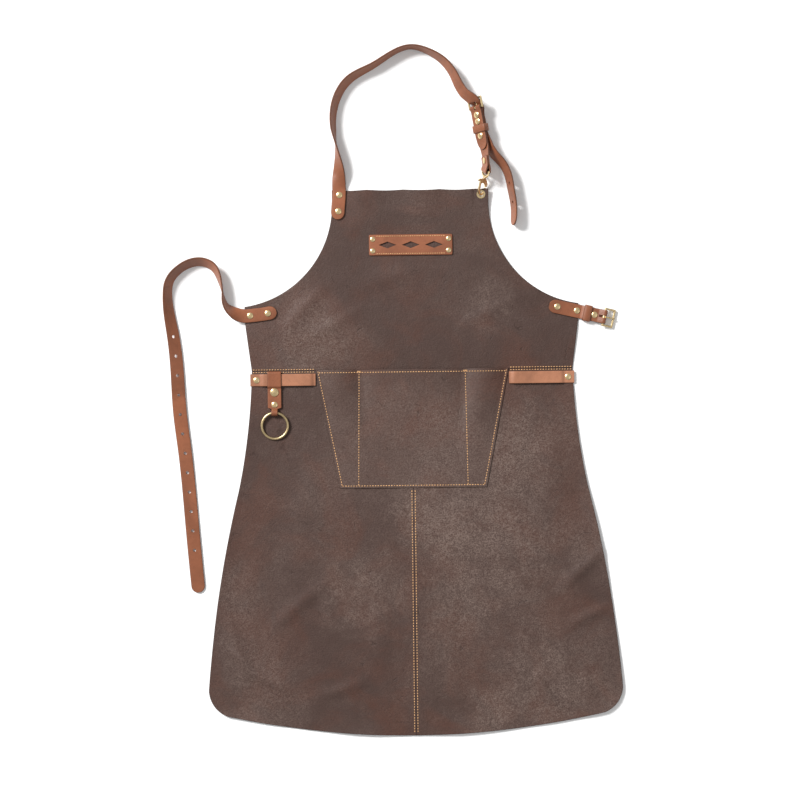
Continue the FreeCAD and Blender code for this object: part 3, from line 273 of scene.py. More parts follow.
def finish(name):
    """The named material, made the first time that it is asked for."""
    if name not in FINISHES:
        s = bpy.context.scene.apron
        dark, pale = tuple(s.hide), tuple(s.hide_pull_and_sheen)
        make = {
            "bib": lambda: waxed_leather("bib_leather", dark, pale, 0.34, PAINTED_SHEEN_BIB),
            "skirt": lambda: waxed_leather("skirt_leather", dark, pale, 0.48, PAINTED_SHEEN_SKIRT),
            "pocket": lambda: waxed_leather("pocket_leather", shade(dark, 1.18), shade(pale, 0.95), 0.55),
            "strap": lambda: strap_leather("strap_leather", tuple(s.tan)),
            "band": lambda: strap_leather("band_leather", tuple(s.tan_pale), 0.46),
            "patch": lambda: strap_leather("patch_leather", shade(s.tan, 1.06), 0.5),
            "brass": lambda: cast_brass("pale_brass", tuple(s.brass), 0.30),
            "steel": lambda: cast_brass("antique_brass", shade(s.brass, 0.74), 0.36),
            "thread": lambda: sewing_thread("thread", tuple(s.thread)),
        }[name]
        FINISHES[name] = make()
    return FINISHES[name]


# ------------------------------------------------------------------ meshes


def add_piece(name, points, faces, look, body="apron", rim=None, smooth=True):
    """A mesh from points in millimetres and lists of faces, turned outwards and given its finish."""
    mesh = bpy.data.meshes.new(name)
    mesh.from_pydata((np.asarray(points) * MM).tolist(), [], faces)
    if rim is not None:
        values = mesh.attributes.new("rim", "FLOAT", "POINT").data
        values.foreach_set("value", np.asarray(rim, dtype=float))
    work = bmesh.new()
    work.from_mesh(mesh)
    bmesh.ops.recalc_face_normals(work, faces=work.faces)
    work.to_mesh(mesh)
    work.free()
    mesh.polygons.foreach_set("use_smooth", [smooth] * len(mesh.polygons))
    mesh.materials.append(finish(look))
    piece = bpy.data.objects.new(name, mesh)
    bpy.context.scene.collection.objects.link(piece)
    if body:
        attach(piece, body)
    return piece


def grid_faces(rows, columns, wrap=False):
    """Quads of a grid of rows by columns; wrap joins the last column to the first."""
    across = columns if wrap else columns - 1
    i, j = np.meshgrid(np.arange(rows - 1), np.arange(across), indexing="ij")
    k = (j + 1) % columns
    quads = np.stack([i * columns + j, i * columns + k, (i + 1) * columns + k, (i + 1) * columns + j], -1)
    return quads.reshape(-1, 4)


def slab(name, x, y, low, thick, gap, look):
    """A sheet with rounded edges: the upper side is low + thick - r + sqrt(r^2 - (r - gap)^2), where
    gap is the distance from the edge and r is 0.46 of the thickness, and the lower side mirrors it."""
    rows, columns = x.shape
    r = 0.46 * thick
    inside = np.clip(r - gap, 0, r)
    drop = r - np.sqrt(np.maximum(r * r - inside * inside, 0))
    top = np.stack([x, y, low + thick - drop], -1).reshape(-1, 3)
    under = np.stack([x, y, low + drop], -1).reshape(-1, 3)
    quads = grid_faces(rows, columns)
    count = rows * columns
    index = np.arange(count).reshape(rows, columns)
    loop = np.concatenate([index[0, :-1], index[:-1, -1], index[-1, :0:-1], index[:0:-1, 0]])
    after = np.roll(loop, -1)
    wall = np.stack([loop + count, after + count, after, loop], -1)
    faces = np.concatenate([quads, quads[:, ::-1] + count, wall])
    rim = np.clip(1.0 - gap / 1.3, 0, 1).reshape(-1)
    return add_piece(name, np.concatenate([top, under]), faces.tolist(), look,
                     rim=np.concatenate([rim, rim]))


EDGE = np.array([0.0, 0.18, 0.5, 0.9, 1.6])  # how far the lines beside a cut edge stand from it


def spread(start, end, step, first=True, last=True):
    """Even steps from start to end, with closer lines beside the edges that are cut."""
    way = 1 if end > start else -1
    count = max(2, int(round(abs(end - start) / step)))
    lines = np.linspace(start, end, count + 1)
    if first:
        lines = np.concatenate([start + way * EDGE, lines[np.abs(lines - start) > 2.4]])
    if last:
        lines = np.concatenate([lines[np.abs(lines - end) > 2.4], end - way * EDGE[::-1]])
    return lines


def arc_between(a, b, radius, side, share):
    """Points on the arc from a to b that bulges to the left (1) or right (-1) of the way."""
    a, b = np.array(a, float), np.array(b, float)
    half = (b - a) / 2
    left = np.array([-half[1], half[0]]) / np.hypot(*half)
    middle = a + half - left * side * math.sqrt(max(0.0, radius**2 - half @ half))
    start = math.atan2(*(a - middle)[::-1])
    turn = (math.atan2(*(b - middle)[::-1]) - start + math.pi) % (2 * math.pi) - math.pi
    angle = start + turn * share
    return middle[0] + radius * np.cos(angle), middle[1] + radius * np.sin(angle)


# ------------------------------------------------------------------ the lie of the leather

# lines that hold the leather down: start, end and reach; then creases: start, end, width and height
CALM = [((-106.5, 220.7), (-103.7, 263.4), 15), ((-244, 82), (-197.3, 87), 15), ((200.8, 92), (244, 82), 15),
        ((-62, 182.4), (62, 182.4), 22), ((-244, -6), (244, -6), 20), ((-201.5, -10), (-201.5, -104), 30),
        ((70, 263), (114, 220), 26), ((-201.5, -62), (-158, -62), 66)]
CREASES = [((105, -230), (172, -320), 9, 2.2), ((170, -440), (212, -505), 5, 3.2),
           ((205, -330), (288, -255), 9, 1.9), ((60, -190), (110, -235), 7, 1.5),
           ((215, -380), (290, -345), 8, 1.7), ((240, -440), (262, -490), 6, 1.8),
           ((-262, -430), (-175, -470), 8, 2.0), ((-215, -380), (-120, -300), 10, 1.5),
           ((-278, -400), (-215, -455), 6, 2.0), ((-150, -480), (-60, -450), 9, 1.4),
           ((-285, -330), (-238, -470), 9, 1.5), ((175, -110), (235, -190), 12, 1.6),
           ((-60, -300), (-40, -500), 12, 0.8), ((45, -330), (60, -500), 12, 0.9),
           ((-190, 60), (-120, 130), 11, 1.3), ((120, 130), (200, 70), 11, 1.3),
           ((-90, 120), (20, 150), 13, 1.0), ((-170, 40), (-60, 95), 9, 0.9),
           ((60, 60), (170, 110), 10, 1.0), ((-40, 235), (40, 225), 9, 1.0)]
CREASE_RISE = 1.5  # times the height in the list
WAVES = 14
CORNER_TILT = math.radians(12)  # the bib's right top corner, which the clasp lifts


def far_from(x, y, start, end):
    """Distance from each point to a straight line between two points."""
    (ax, ay), (bx, by) = start, end
    along, across = bx - ax, by - ay
    share = np.clip(((x - ax) * along + (y - ay) * across) / (along**2 + across**2), 0, 1)
    return np.hypot(x - ax - share * along, y - ay - share * across), share


def lie(x, y):
    """How far the leather's back is off the floor: 14 seeded sine waves of 55 to 240 mm added up, and
    long creases with a bell-shaped section, all calmed where straps and rivets hold it down."""
    rng = np.random.default_rng(12)
    wave = np.zeros_like(x)
    for _ in range(WAVES):
        length, heading, phase = rng.uniform(55, 240), rng.uniform(0, math.pi), rng.uniform(0, 6.28)
        wave = wave + np.sin((x * math.cos(heading) + y * math.sin(heading)) * 6.283 / length + phase)
    height = bpy.context.scene.apron.ripple / MM * np.clip(0.5 + wave / WAVES, 0, 1)
    for start, end, wide, tall in CREASES:
        distance, share = far_from(x, y, start, end)
        fade = np.sin(math.pi * np.clip(share, 0.02, 0.98))
        height = height + CREASE_RISE * tall * np.exp(-((distance / wide) ** 2)) * fade
    for start, end, radius in CALM:
        distance, _ = far_from(x, y, start, end)
        beyond = np.maximum(distance - radius * 0.55, 0)
        height = height * (1 - np.exp(-beyond**2 / (0.9 * radius) ** 2))
    return height


def lifted(x, y):
    """The bib's right top corner bends up by 12 degrees beyond a diagonal fold, over a soft bend."""
    past = ((x - 70.5) + (y - 263.4)) / math.sqrt(2)
    soft = np.where(past > 7, past, np.where(past < -7, 0, (past + 7) ** 2 / 28))
    back = soft * (1 - math.cos(CORNER_TILT)) / math.sqrt(2)
    return x - back, y - back, soft * math.sin(CORNER_TILT)


def seam_rise(x, y):
    """The middle seam stands up by 0.55 e^(-|x| / 5.5), fading in over the first 60 mm of the skirt."""
    return 0.55 * np.exp(-np.abs(x) / 5.5) * np.clip(-y / 60, 0, 1)


# ------------------------------------------------------------------ straps


def spline(points, step):
    """A natural cubic through the points, by distance along their chords, at even steps."""
    points = np.array(points, float)
    knots = np.concatenate([[0], np.cumsum(np.linalg.norm(np.diff(points, axis=0), axis=1))])
    h, n = np.diff(knots), len(points)
    system, right = np.eye(n), np.zeros_like(points)
    for i in range(1, n - 1):
        system[i, i - 1:i + 2] = h[i - 1], 2 * (h[i - 1] + h[i]), h[i]
    slopes = np.diff(points, axis=0) / h[:, None]
    right[1:-1] = 6 * np.diff(slopes, axis=0)
    bend = np.linalg.solve(system, right)
    at = np.linspace(0, knots[-1], int(knots[-1] / step) + 2)
    k = np.clip(np.searchsorted(knots, at, side="right") - 1, 0, n - 2)
    a, b, g = (knots[k + 1] - at)[:, None], (at - knots[k])[:, None], h[k][:, None]
    curve = (bend[k] * a**3 + bend[k + 1] * b**3) / (6 * g) \
        + (points[k] / g - bend[k] * g / 6) * a + (points[k + 1] / g - bend[k + 1] * g / 6) * b
    return curve, at, knots


def direction(heading, slope):
    """The unit vector with a heading from x and a slope from the floor, both in degrees."""
    turn, climb = math.radians(heading), math.radians(slope)
    return np.array([math.cos(turn) * math.cos(climb), math.sin(turn) * math.cos(climb), math.sin(climb)])


def rolled(along, roll):
    """The side and the face of a strap that runs along and is rolled, as arrays."""
    right = np.cross(along, UP)
    right = right / np.linalg.norm(right, axis=-1, keepdims=True)
    rise = np.cross(right, along)
    turn = np.radians(roll)[..., None] if np.ndim(roll) else math.radians(roll)
    return -(right * np.cos(turn) + rise * np.sin(turn)), rise * np.cos(turn) - right * np.sin(turn)


class Course:
    """The middle line of a strap through (x, y, z, roll) stops, each 1 mm of it with its frame."""

    def __init__(self, stops):
        stops = np.array(stops, float)
        line, at, knots = spline(stops[:, :3], 1.0)
        run = np.concatenate([[0], np.cumsum(np.linalg.norm(np.diff(line, axis=0), axis=1))])
        self.marks = np.interp(knots, at, run)
        self.run, self.line, self.length = run, line, run[-1]
        along = np.gradient(line, run, axis=0)
        self.along = along / np.linalg.norm(along, axis=1, keepdims=True)
        self.side, self.face = rolled(self.along, np.interp(run, self.marks, stops[:, 3]))

    def at(self, runs, table):
        return np.stack([np.interp(runs, self.run, table[:, c]) for c in range(3)], -1)

    def over(self, runs, heights):
        """Points that lie a height above the middle line, and the strap's side there."""
        return (self.at(runs, self.line) + self.at(runs, self.face) * np.asarray(heights)[..., None],
                self.at(runs, self.side))


class Seat:
    """A place with its own x, y and z."""

    def __init__(self, origin, along, roll):
        self.origin, self.x = np.array(origin, float), np.array(along, float)
        self.y, self.z = rolled(self.x, roll)

    def point(self, x, y, z):
        return self.origin + self.x * x + self.y * y + self.z * z


NECK_BAR = Seat((97.5, 379.4, 14.2), direction(-80, -1), 135)
SIDE_HEAD = np.array([200.8 - 281.0, 92.0 - 73.5, 0]) / math.hypot(80.2, 18.5)
SIDE_BAR = Seat((281.0, 73.5, 5.8), SIDE_HEAD, 0)
CLASP_EYE = np.array([110.70, 288.11, 14.10])
CLASP_WAY = direction(-102.7, -15.2)
FOLD, FOLD_RADIUS, EYE_RADIUS, LAYER = 2.0, 2.784, 3.33, 1.05
PRONG_SLOT = ((-4.6, 3.0), 1.6, (-4.3, 4.3))


def nose(distance, width, blunt=0.94):
    """A strap's width at a distance from its round tip: 2 sqrt(r^2 - 0.94 (r - distance)^2)."""
    r = width / 2
    return np.where(distance >= r, width, 2 * np.sqrt(r * r - blunt * (r - np.minimum(distance, r)) ** 2))


def strap(name, points, side, width, thick, look="strap", body="apron", crown=0.12):
    """A rounded oblong section carried along the points; its face stands square to the way it runs.
    The edges are quarter circles and the face is crowned by a parabola."""
    way = np.gradient(points, axis=0)
    way /= np.linalg.norm(way, axis=1, keepdims=True)
    side = side - way * np.sum(side * way, axis=1, keepdims=True)
    side /= np.linalg.norm(side, axis=1, keepdims=True)
    face = np.cross(way, side)
    r = 0.40 * thick
    turn = np.radians(np.array([0, 30, 60, 90]))
    flat = np.linspace(1, -1, 9)[1:-1]
    part = [(np.ones(4), np.cos(turn), np.sin(turn), 1), (flat, flat * 0, flat * 0 + 1, 1),
            (-np.ones(4), -np.cos(turn[::-1]), np.sin(turn[::-1]), 1),
            (-np.ones(4), -np.cos(turn), -np.sin(turn), -1), (-flat, flat * 0, flat * 0 - 1, -1),
            (np.ones(4), np.cos(turn[::-1]), -np.sin(turn[::-1]), -1)]
    inner = np.concatenate([p[0] for p in part])
    out = np.concatenate([p[1] for p in part])
    high = np.concatenate([p[2] * r + p[3] * (thick / 2 - r) for p in part])
    high = high + crown * np.sign(high) * (1 - inner**2)
    rim = np.concatenate([np.clip(np.abs(p[1]) * 1.3, 0, 1) for p in part])
    width = np.broadcast_to(width, len(points))[:, None]
    reach = inner * np.maximum(width / 2 - r, 0.05) + out * r
    skin = points[:, None] + side[:, None] * reach[..., None] + face[:, None] * high[None, :, None]
    rows, columns = reach.shape
    faces = grid_faces(rows, columns, wrap=True).tolist()
    faces += [list(range(columns))[::-1], [(rows - 1) * columns + k for k in range(columns)]]
    ends = np.exp(-np.minimum(np.arange(rows), rows - 1 - np.arange(rows)) / 0.8)[:, None]
    shade_rim = np.maximum(rim[None, :], ends)
    return add_piece(name, skin.reshape(-1, 3), faces, look, body, shade_rim.reshape(-1))


def tip_runs(length, step):
    """Runs along a strap, closer together at its round tips."""
    close = np.array([0, 0.35, 0.9, 1.8, 3.0, 4.6, 6.6, 9.0])
    return np.concatenate([close, np.arange(12, length - 12, step), length - close[::-1]])


def carve(piece, cutters):
    """Takes straight prisms out of a piece. Each has an outline in a place's x and y, and runs from
    low to high along its z."""
    points, faces, count = [], [], 0
    for (origin, x, y, z), outline, low, high in cutters:
        flat = np.array(outline, float)
        n = len(flat)
        ground = np.asarray(origin) + flat[:, :1] * np.asarray(x) + flat[:, 1:] * np.asarray(y)
        points += [ground + np.asarray(z) * low, ground + np.asarray(z) * high]
        faces += [[count + k for k in range(n)][::-1], [count + n + k for k in range(n)]]
        faces += [[count + k, count + (k + 1) % n, count + n + (k + 1) % n, count + n + k]
                  for k in range(n)]
        count += 2 * n
    tool = add_piece("cutter", np.concatenate(points), faces, "strap", body=None, smooth=False)
    cut = piece.modifiers.new("cut", "BOOLEAN")
    cut.operation, cut.solver, cut.object = "DIFFERENCE", "EXACT", tool
    graph = bpy.context.evaluated_depsgraph_get()
    mesh = bpy.data.meshes.new_from_object(piece.evaluated_get(graph))
    piece.modifiers.clear()
    piece.data = mesh
    bpy.data.objects.remove(tool)
    mesh.polygons.foreach_set("use_smooth", [True] * len(mesh.polygons))
    mesh.set_sharp_from_angle(angle=math.radians(50))


def circle(radius, count=20):
    """A polygon with its corners on a circle."""
    angle = np.linspace(0, 2 * math.pi, count, endpoint=False)
    return np.stack([np.cos(angle), np.sin(angle)], -1) * radius


def course_holes(course, runs, radius):
    """Round cutters across a strap at some runs along it."""
    places = [(course.at(r, course.line), course.at(r, course.along), course.at(r, course.side),
               course.at(r, course.face)) for r in runs]
    return [(place, circle(radius), -5, 5) for place in places]


def seat_box(seat, x, half, z):
    """A cutter: an oblong at a seat, from x[0] to x[1], half to each side, and from z[0] to z[1]."""
    outline = [(x[0], -half), (x[1], -half), (x[1], half), (x[0], half)]
    return (seat.origin, seat.x, seat.y, seat.z), outline, z[0], z[1]


def turn(run, height, radius, start, end, wide, steps=12):
    """Stops of a fold: a circle's points from one angle to another."""
    angle = np.radians(np.linspace(start, end, steps + 1))
    return [(run + radius * math.cos(a), height + radius * math.sin(a), wide) for a in angle]


def eased(route, step=1.0):
    """The route's stops with straight stretches filled in."""
    route = np.array(route, float)
    run = np.concatenate([[0], np.cumsum(np.hypot(*np.diff(route[:, :2], axis=0).T))])
    fill = np.arange(0, run[-1], step)
    at = np.unique(np.round(np.concatenate([run, fill]), 3))
    at = at[np.concatenate([[True], np.diff(at) > 0.3])]
    return np.stack([np.interp(at, run, route[:, c]) for c in range(3)], -1)


# ------------------------------------------------------------------ the pieces


def wide_columns(half, step):
    """Columns across a panel as (share, offset): share of the half width less 3 mm, then offset."""
    share = np.linspace(-1, 1, int(2 * half / step) + 1)
    near = 3 - EDGE[:-1]
    shares = np.concatenate([-np.ones(len(near)), share, np.ones(len(near))])
    offset = np.concatenate([-near, share * 0, near[::-1]])
    return shares, offset


class APRON_OT_bib(bpy.types.Operator):
    """The bib: its half width runs straight up the wings, round the armholes and up to the top"""

    bl_idname = "apron.bib"
    bl_label = "Bib"

    def execute(self, context):
        thick = context.scene.apron.leather_thick / MM
        ax, ay = arc_between((WING, WING_TOP), (BIB_HALF, ARMHOLE_TOP), 150, 1, np.linspace(0, 1, 60))
        y = np.concatenate([spread(0, WING_TOP, 3.2), ay[1:],
                            spread(ARMHOLE_TOP, BIB_TOP, 3, first=False)[1:]])
        half = np.interp(y, [0, WING_LOW, WING_TOP], [WAIST, WING, WING])
        curved = (y > WING_TOP) & (y <= ARMHOLE_TOP)
        half[curved] = np.interp(y[curved], ay, ax)
        half[y > ARMHOLE_TOP] = BIB_HALF
        shares, offset = wide_columns(WING, 3.4)
        x = shares[None] * (half[:, None] - 3) + offset[None]
        y2 = np.broadcast_to(y[:, None], x.shape).copy()
        top_wave = 1.1 * np.sin(x / 17.0 + 0.6) * np.clip((y2 - 225) / 38, 0, 1) ** 2
        y2 = y2 - np.abs(top_wave) * (np.abs(x) < 104)
        slope = np.hypot(1, np.gradient(half, y))[:, None]
        gap = np.minimum((half[:, None] - np.abs(x)) / slope, np.minimum(y, BIB_TOP - y)[:, None])
        near_top = np.clip(1 - (BIB_TOP - y2) / 30, 0, 1)
        low = lie(x, y2) + near_top * 0.8 * (1 + np.sin(x / 13)) * (np.abs(x) < 92)
        x3, y3, rise = lifted(x, y2)
        piece = slab("bib_leather", x3, y3, low + rise, thick, gap, "bib")
        eye = np.array(lifted(*np.array(EYELET)))
        back = -math.sin(CORNER_TILT) / math.sqrt(2)
        normal = np.array([back, back, math.cos(CORNER_TILT)])
        side = np.array([1, -1, 0]) / math.sqrt(2)
        carve(piece, [((eye, side, np.cross(normal, side), normal), circle(EYELET_HOLE, 28), -4, 6)])
        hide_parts("bib_panel")
        return {"FINISHED"}


class APRON_OT_skirt(bpy.types.Operator):
    """The skirt's two halves: columns fan out from the middle seam to the curved side and hem"""

    bl_idname = "apron.skirt"
    bl_label = "Skirt"

    def execute(self, context):
        thick = context.scene.apron.leather_thick / MM
        share = np.linspace(0, 1, 40)
        parts = [arc_between(*arc, share) for arc in (
            ((WAIST, 0), HIP, 950, -1), (HIP, HEM_SIDE, 1800, 1), (HEM_SIDE, HEM_CORNER, 42, 1))]
        side_x, side_y = (np.concatenate([p[k] for p in parts]) for k in (0, 1))
        order = np.argsort(side_y)
        hem_x, hem_y = arc_between(HEM_CORNER, (0, HEM), 1244, 1, share)
        hem_order = np.argsort(hem_x)
        columns = spread(0, 1, 0.0118, False, False)
        columns = np.unique(np.concatenate([columns, 1 - EDGE / 276, EDGE / 276]))
        rows = 1 - np.concatenate([EDGE / 520, np.linspace(0.006, 0.994, 152), 1 - EDGE[::-1] / 520])
        foot = np.interp(columns * HEM_CORNER[0], hem_x[hem_order], hem_y[hem_order])
        y = rows[:, None] * foot[None]
        width = np.interp(y, side_y[order], side_x[order])
        x = columns[None] * width
        lean = np.gradient(width[:, -1], y[:, -1])
        gap = np.minimum.reduce([(width - x) / np.hypot(1, lean)[:, None], x, -y, y - foot[None]])
        for label, way in (("right", 1), ("left", -1)):
            across = x[:, ::way] * way
            up, edge = y[:, ::way], gap[:, ::way]
            curl = np.clip(1 - edge / 34, 0, 1) ** 2 * np.clip(-up / 120, 0, 1)
            wave = 0.55 + 0.45 * np.sin(up / 41 + way) * np.sin(across / 37)
            low = (lie(across, up) + 3.4 * curl * wave * np.clip(np.abs(across) / 60, 0, 1)
                   + seam_rise(across, up))
            piece = slab("skirt_leather_" + label, across, up, low, thick, edge, "skirt")
            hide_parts("skirt_" + label)
        return {"FINISHED"}


def pocket_height(x, y):
    """The pocket's own stand-off: three sine bulges at the mouth that fade towards the bottom."""
    share = np.clip((POCKET_TOP - y) / 132, 0, 1)
    half = np.interp(y, [POCKET_LOW, POCKET_TOP], [POCKET_LOW_HALF / POCKET_HALF, 1])
    at = x / half
    bulge = np.zeros_like(x)
    for start, end in ((-POCKET_HALF + 6, -DIVIDER - 4), (-DIVIDER + 4, DIVIDER - 4),
                       (DIVIDER + 4, POCKET_HALF - 6)):
        inside = np.clip((at - start) / (end - start), 0, 1)
        bulge = bulge + 7.6 * np.sin(math.pi * inside) ** 0.8
    ripple = 0.35 * np.sin(x / 11 + y / 23) * np.sin(y / 17 - x / 31) * np.clip(share * 4, 0, 1)
    return bulge * (1 - share) ** 1.4 + np.maximum(ripple, -0.1) * 0.6


def pocket_low(x, y):
    """The pocket's underside, just off the panel below."""
    return lie(x, y) + 1.62 + pocket_height(x, y)


class APRON_OT_pocket(bpy.types.Operator):
    """The pocket row: a tapering sheet on the skirt, bulged between the sewn dividers"""

    bl_idname = "apron.pocket"
    bl_label = "Pocket row"

    def execute(self, context):
        thick = context.scene.apron.pocket_thick / MM
        y = spread(POCKET_LOW, POCKET_TOP, 2.2)
        half = np.interp(y, [POCKET_LOW, POCKET_TOP], [POCKET_LOW_HALF, POCKET_HALF])
        shares, offset = wide_columns(POCKET_HALF, 2.1)
        x = shares[None] * (half[:, None] - 3) + offset[None]
        y2 = np.broadcast_to(y[:, None], x.shape)
        gap = np.minimum.reduce([half[:, None] - np.abs(x), y2 - POCKET_LOW, POCKET_TOP - y2])
        piece = slab("pocket_leather", x, y2, pocket_low(x, y2), thick, gap, "pocket")
        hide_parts("pocket_panel")
        return {"FINISHED"}


class APRON_OT_patch(bpy.types.Operator):
    """The patch: a small oblong with rounded corners and three plain lozenges cut through it"""

    bl_idname = "apron.patch"
    bl_label = "Patch"

    def execute(self, context):
        y = spread(-PATCH_RISE, PATCH_RISE, 1.1)
        corner = np.clip(2.5 - (PATCH_RISE - np.abs(y)), 0, 2.5)
        half = PATCH_HALF - 2.5 + np.sqrt(2.5**2 - corner**2)
        shares, offset = wide_columns(PATCH_HALF, 1.3)
        x = shares[None] * (half[:, None] - 3) + offset[None]
        y2 = np.broadcast_to(y[:, None], x.shape)
        gap = np.minimum(half[:, None] - np.abs(x), PATCH_RISE - np.abs(y2))
        piece = slab("patch_leather", x, y2 + PATCH_Y, np.full(x.shape, 1.6), 2.0, gap, "patch")
        cutters = []
        for step in (-34, 0, 34):
            outline = [(step - 13, 0), (step, -5), (step + 13, 0), (step, 5)]
            cutters.append((((0, PATCH_Y, 0), (1, 0, 0), (0, 1, 0), (0, 0, 1)), outline, 0.5, 6))
        carve(piece, cutters)
        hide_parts("name_patch")
        return {"FINISHED"}


class APRON_OT_bands(bpy.types.Operator):
    """The waist bands: short straps bowed off the leather between the rivet and the pocket"""

    bl_idname = "apron.bands"
    bl_label = "Waist bands"

    def execute(self, context):
        for label, way in (("right", 1), ("left", -1)):
            x = np.concatenate([BAND_IN + EDGE[:-1], np.arange(BAND_IN + 2, BAND_OUT - 2, 1.5),
                                BAND_OUT - EDGE[:-1][::-1]])
            rise = np.interp(x, [BAND_IN, BAND_IN + 2, BAND_IN + 8, 216.8, 222.8, BAND_OUT],
                             [0, 0, 1, 1, 0, 0])
            smooth = rise * rise * (3 - 2 * rise)
            z = 1.62 + BAND_THICK / 2 + BAND_BOW * smooth
            points = np.stack([x * way, np.full_like(x, BAND_Y), z], -1)
            side = np.broadcast_to([0.0, float(way), 0.0], points.shape)
            piece = strap("band_" + label, points, side, 18.0, BAND_THICK, "band", crown=0.06)
            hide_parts("waist_band_" + label)
        return {"FINISHED"}


def edge_height(roll, lift):
    """A strap's middle stands so high that its lower edge is just off the floor."""
    bend = math.radians(roll)
    return abs(math.sin(bend)) * 10 + abs(math.cos(bend)) * 1.2 + 0.3 + lift


def neck_stop(share, x, y, roll, lift=0.0):
    """A stop of the neck strap, from a share of the bib's half width and the bib's top."""
    return (share * BIB_HALF + x, BIB_TOP + y, edge_height(roll, lift), roll)


def neck_line():
    """The neck strap's course, from the left corner round to the buckle and down to its tip."""
    flat = SEAT_FLAT
    rise = [(-1, 8, -42.7, 0, flat), (-1, 9, -27.5, 0, flat), (-1, 10.4, -12, 0, flat),
            (-1, 10.8, -3.7, 0, flat), (-1, 10.8, 4, 0, flat + 0.25), (-1, 10.8, 14, 12, 1.2),
            (-1, 11, 29.7, 40, 0.3), (-1, 9.4, 48.7, 70), (-1, 6.8, 67.2, 90), (-1, 3.6, 89, 109),
            (-1, 3.6, 110, 114), (-1, 8.6, 132, 118), (-0.75, -1.9, 159.7, 118), (-0.45, -1.5, 179.7, 106),
            (-0.2, -1.2, 197.7, 101), (0.03, 0, 206.8, 97), (0.2, 4.4, 200.7, 104), (0.45, -0.9, 185.8, 114),
            (0.6, -2.2, 163.7, 121, 1.5), (0.76, -4.8, 138, 130, 4)]
    tail = [(1, -0.5, 62, 128, 1.2), (1, 9.5, 48, 122, 0.4), (1, 19.6, 36.5, 118), (1, 28, 20.5, 116),
            (1, 32.6, -1.1, 114), (1, 36.4, -25.7, 111), (1, 36.4, -45, 109), (1, 35.4, -54.8, 108)]
    stops = [neck_stop(*stop) for stop in rise]
    stops += [(*NECK_BAR.point(x, 0, 0), 135) for x in (-12, 0, 14, 28, 40)]
    return Course(stops + [neck_stop(*stop) for stop in tail])


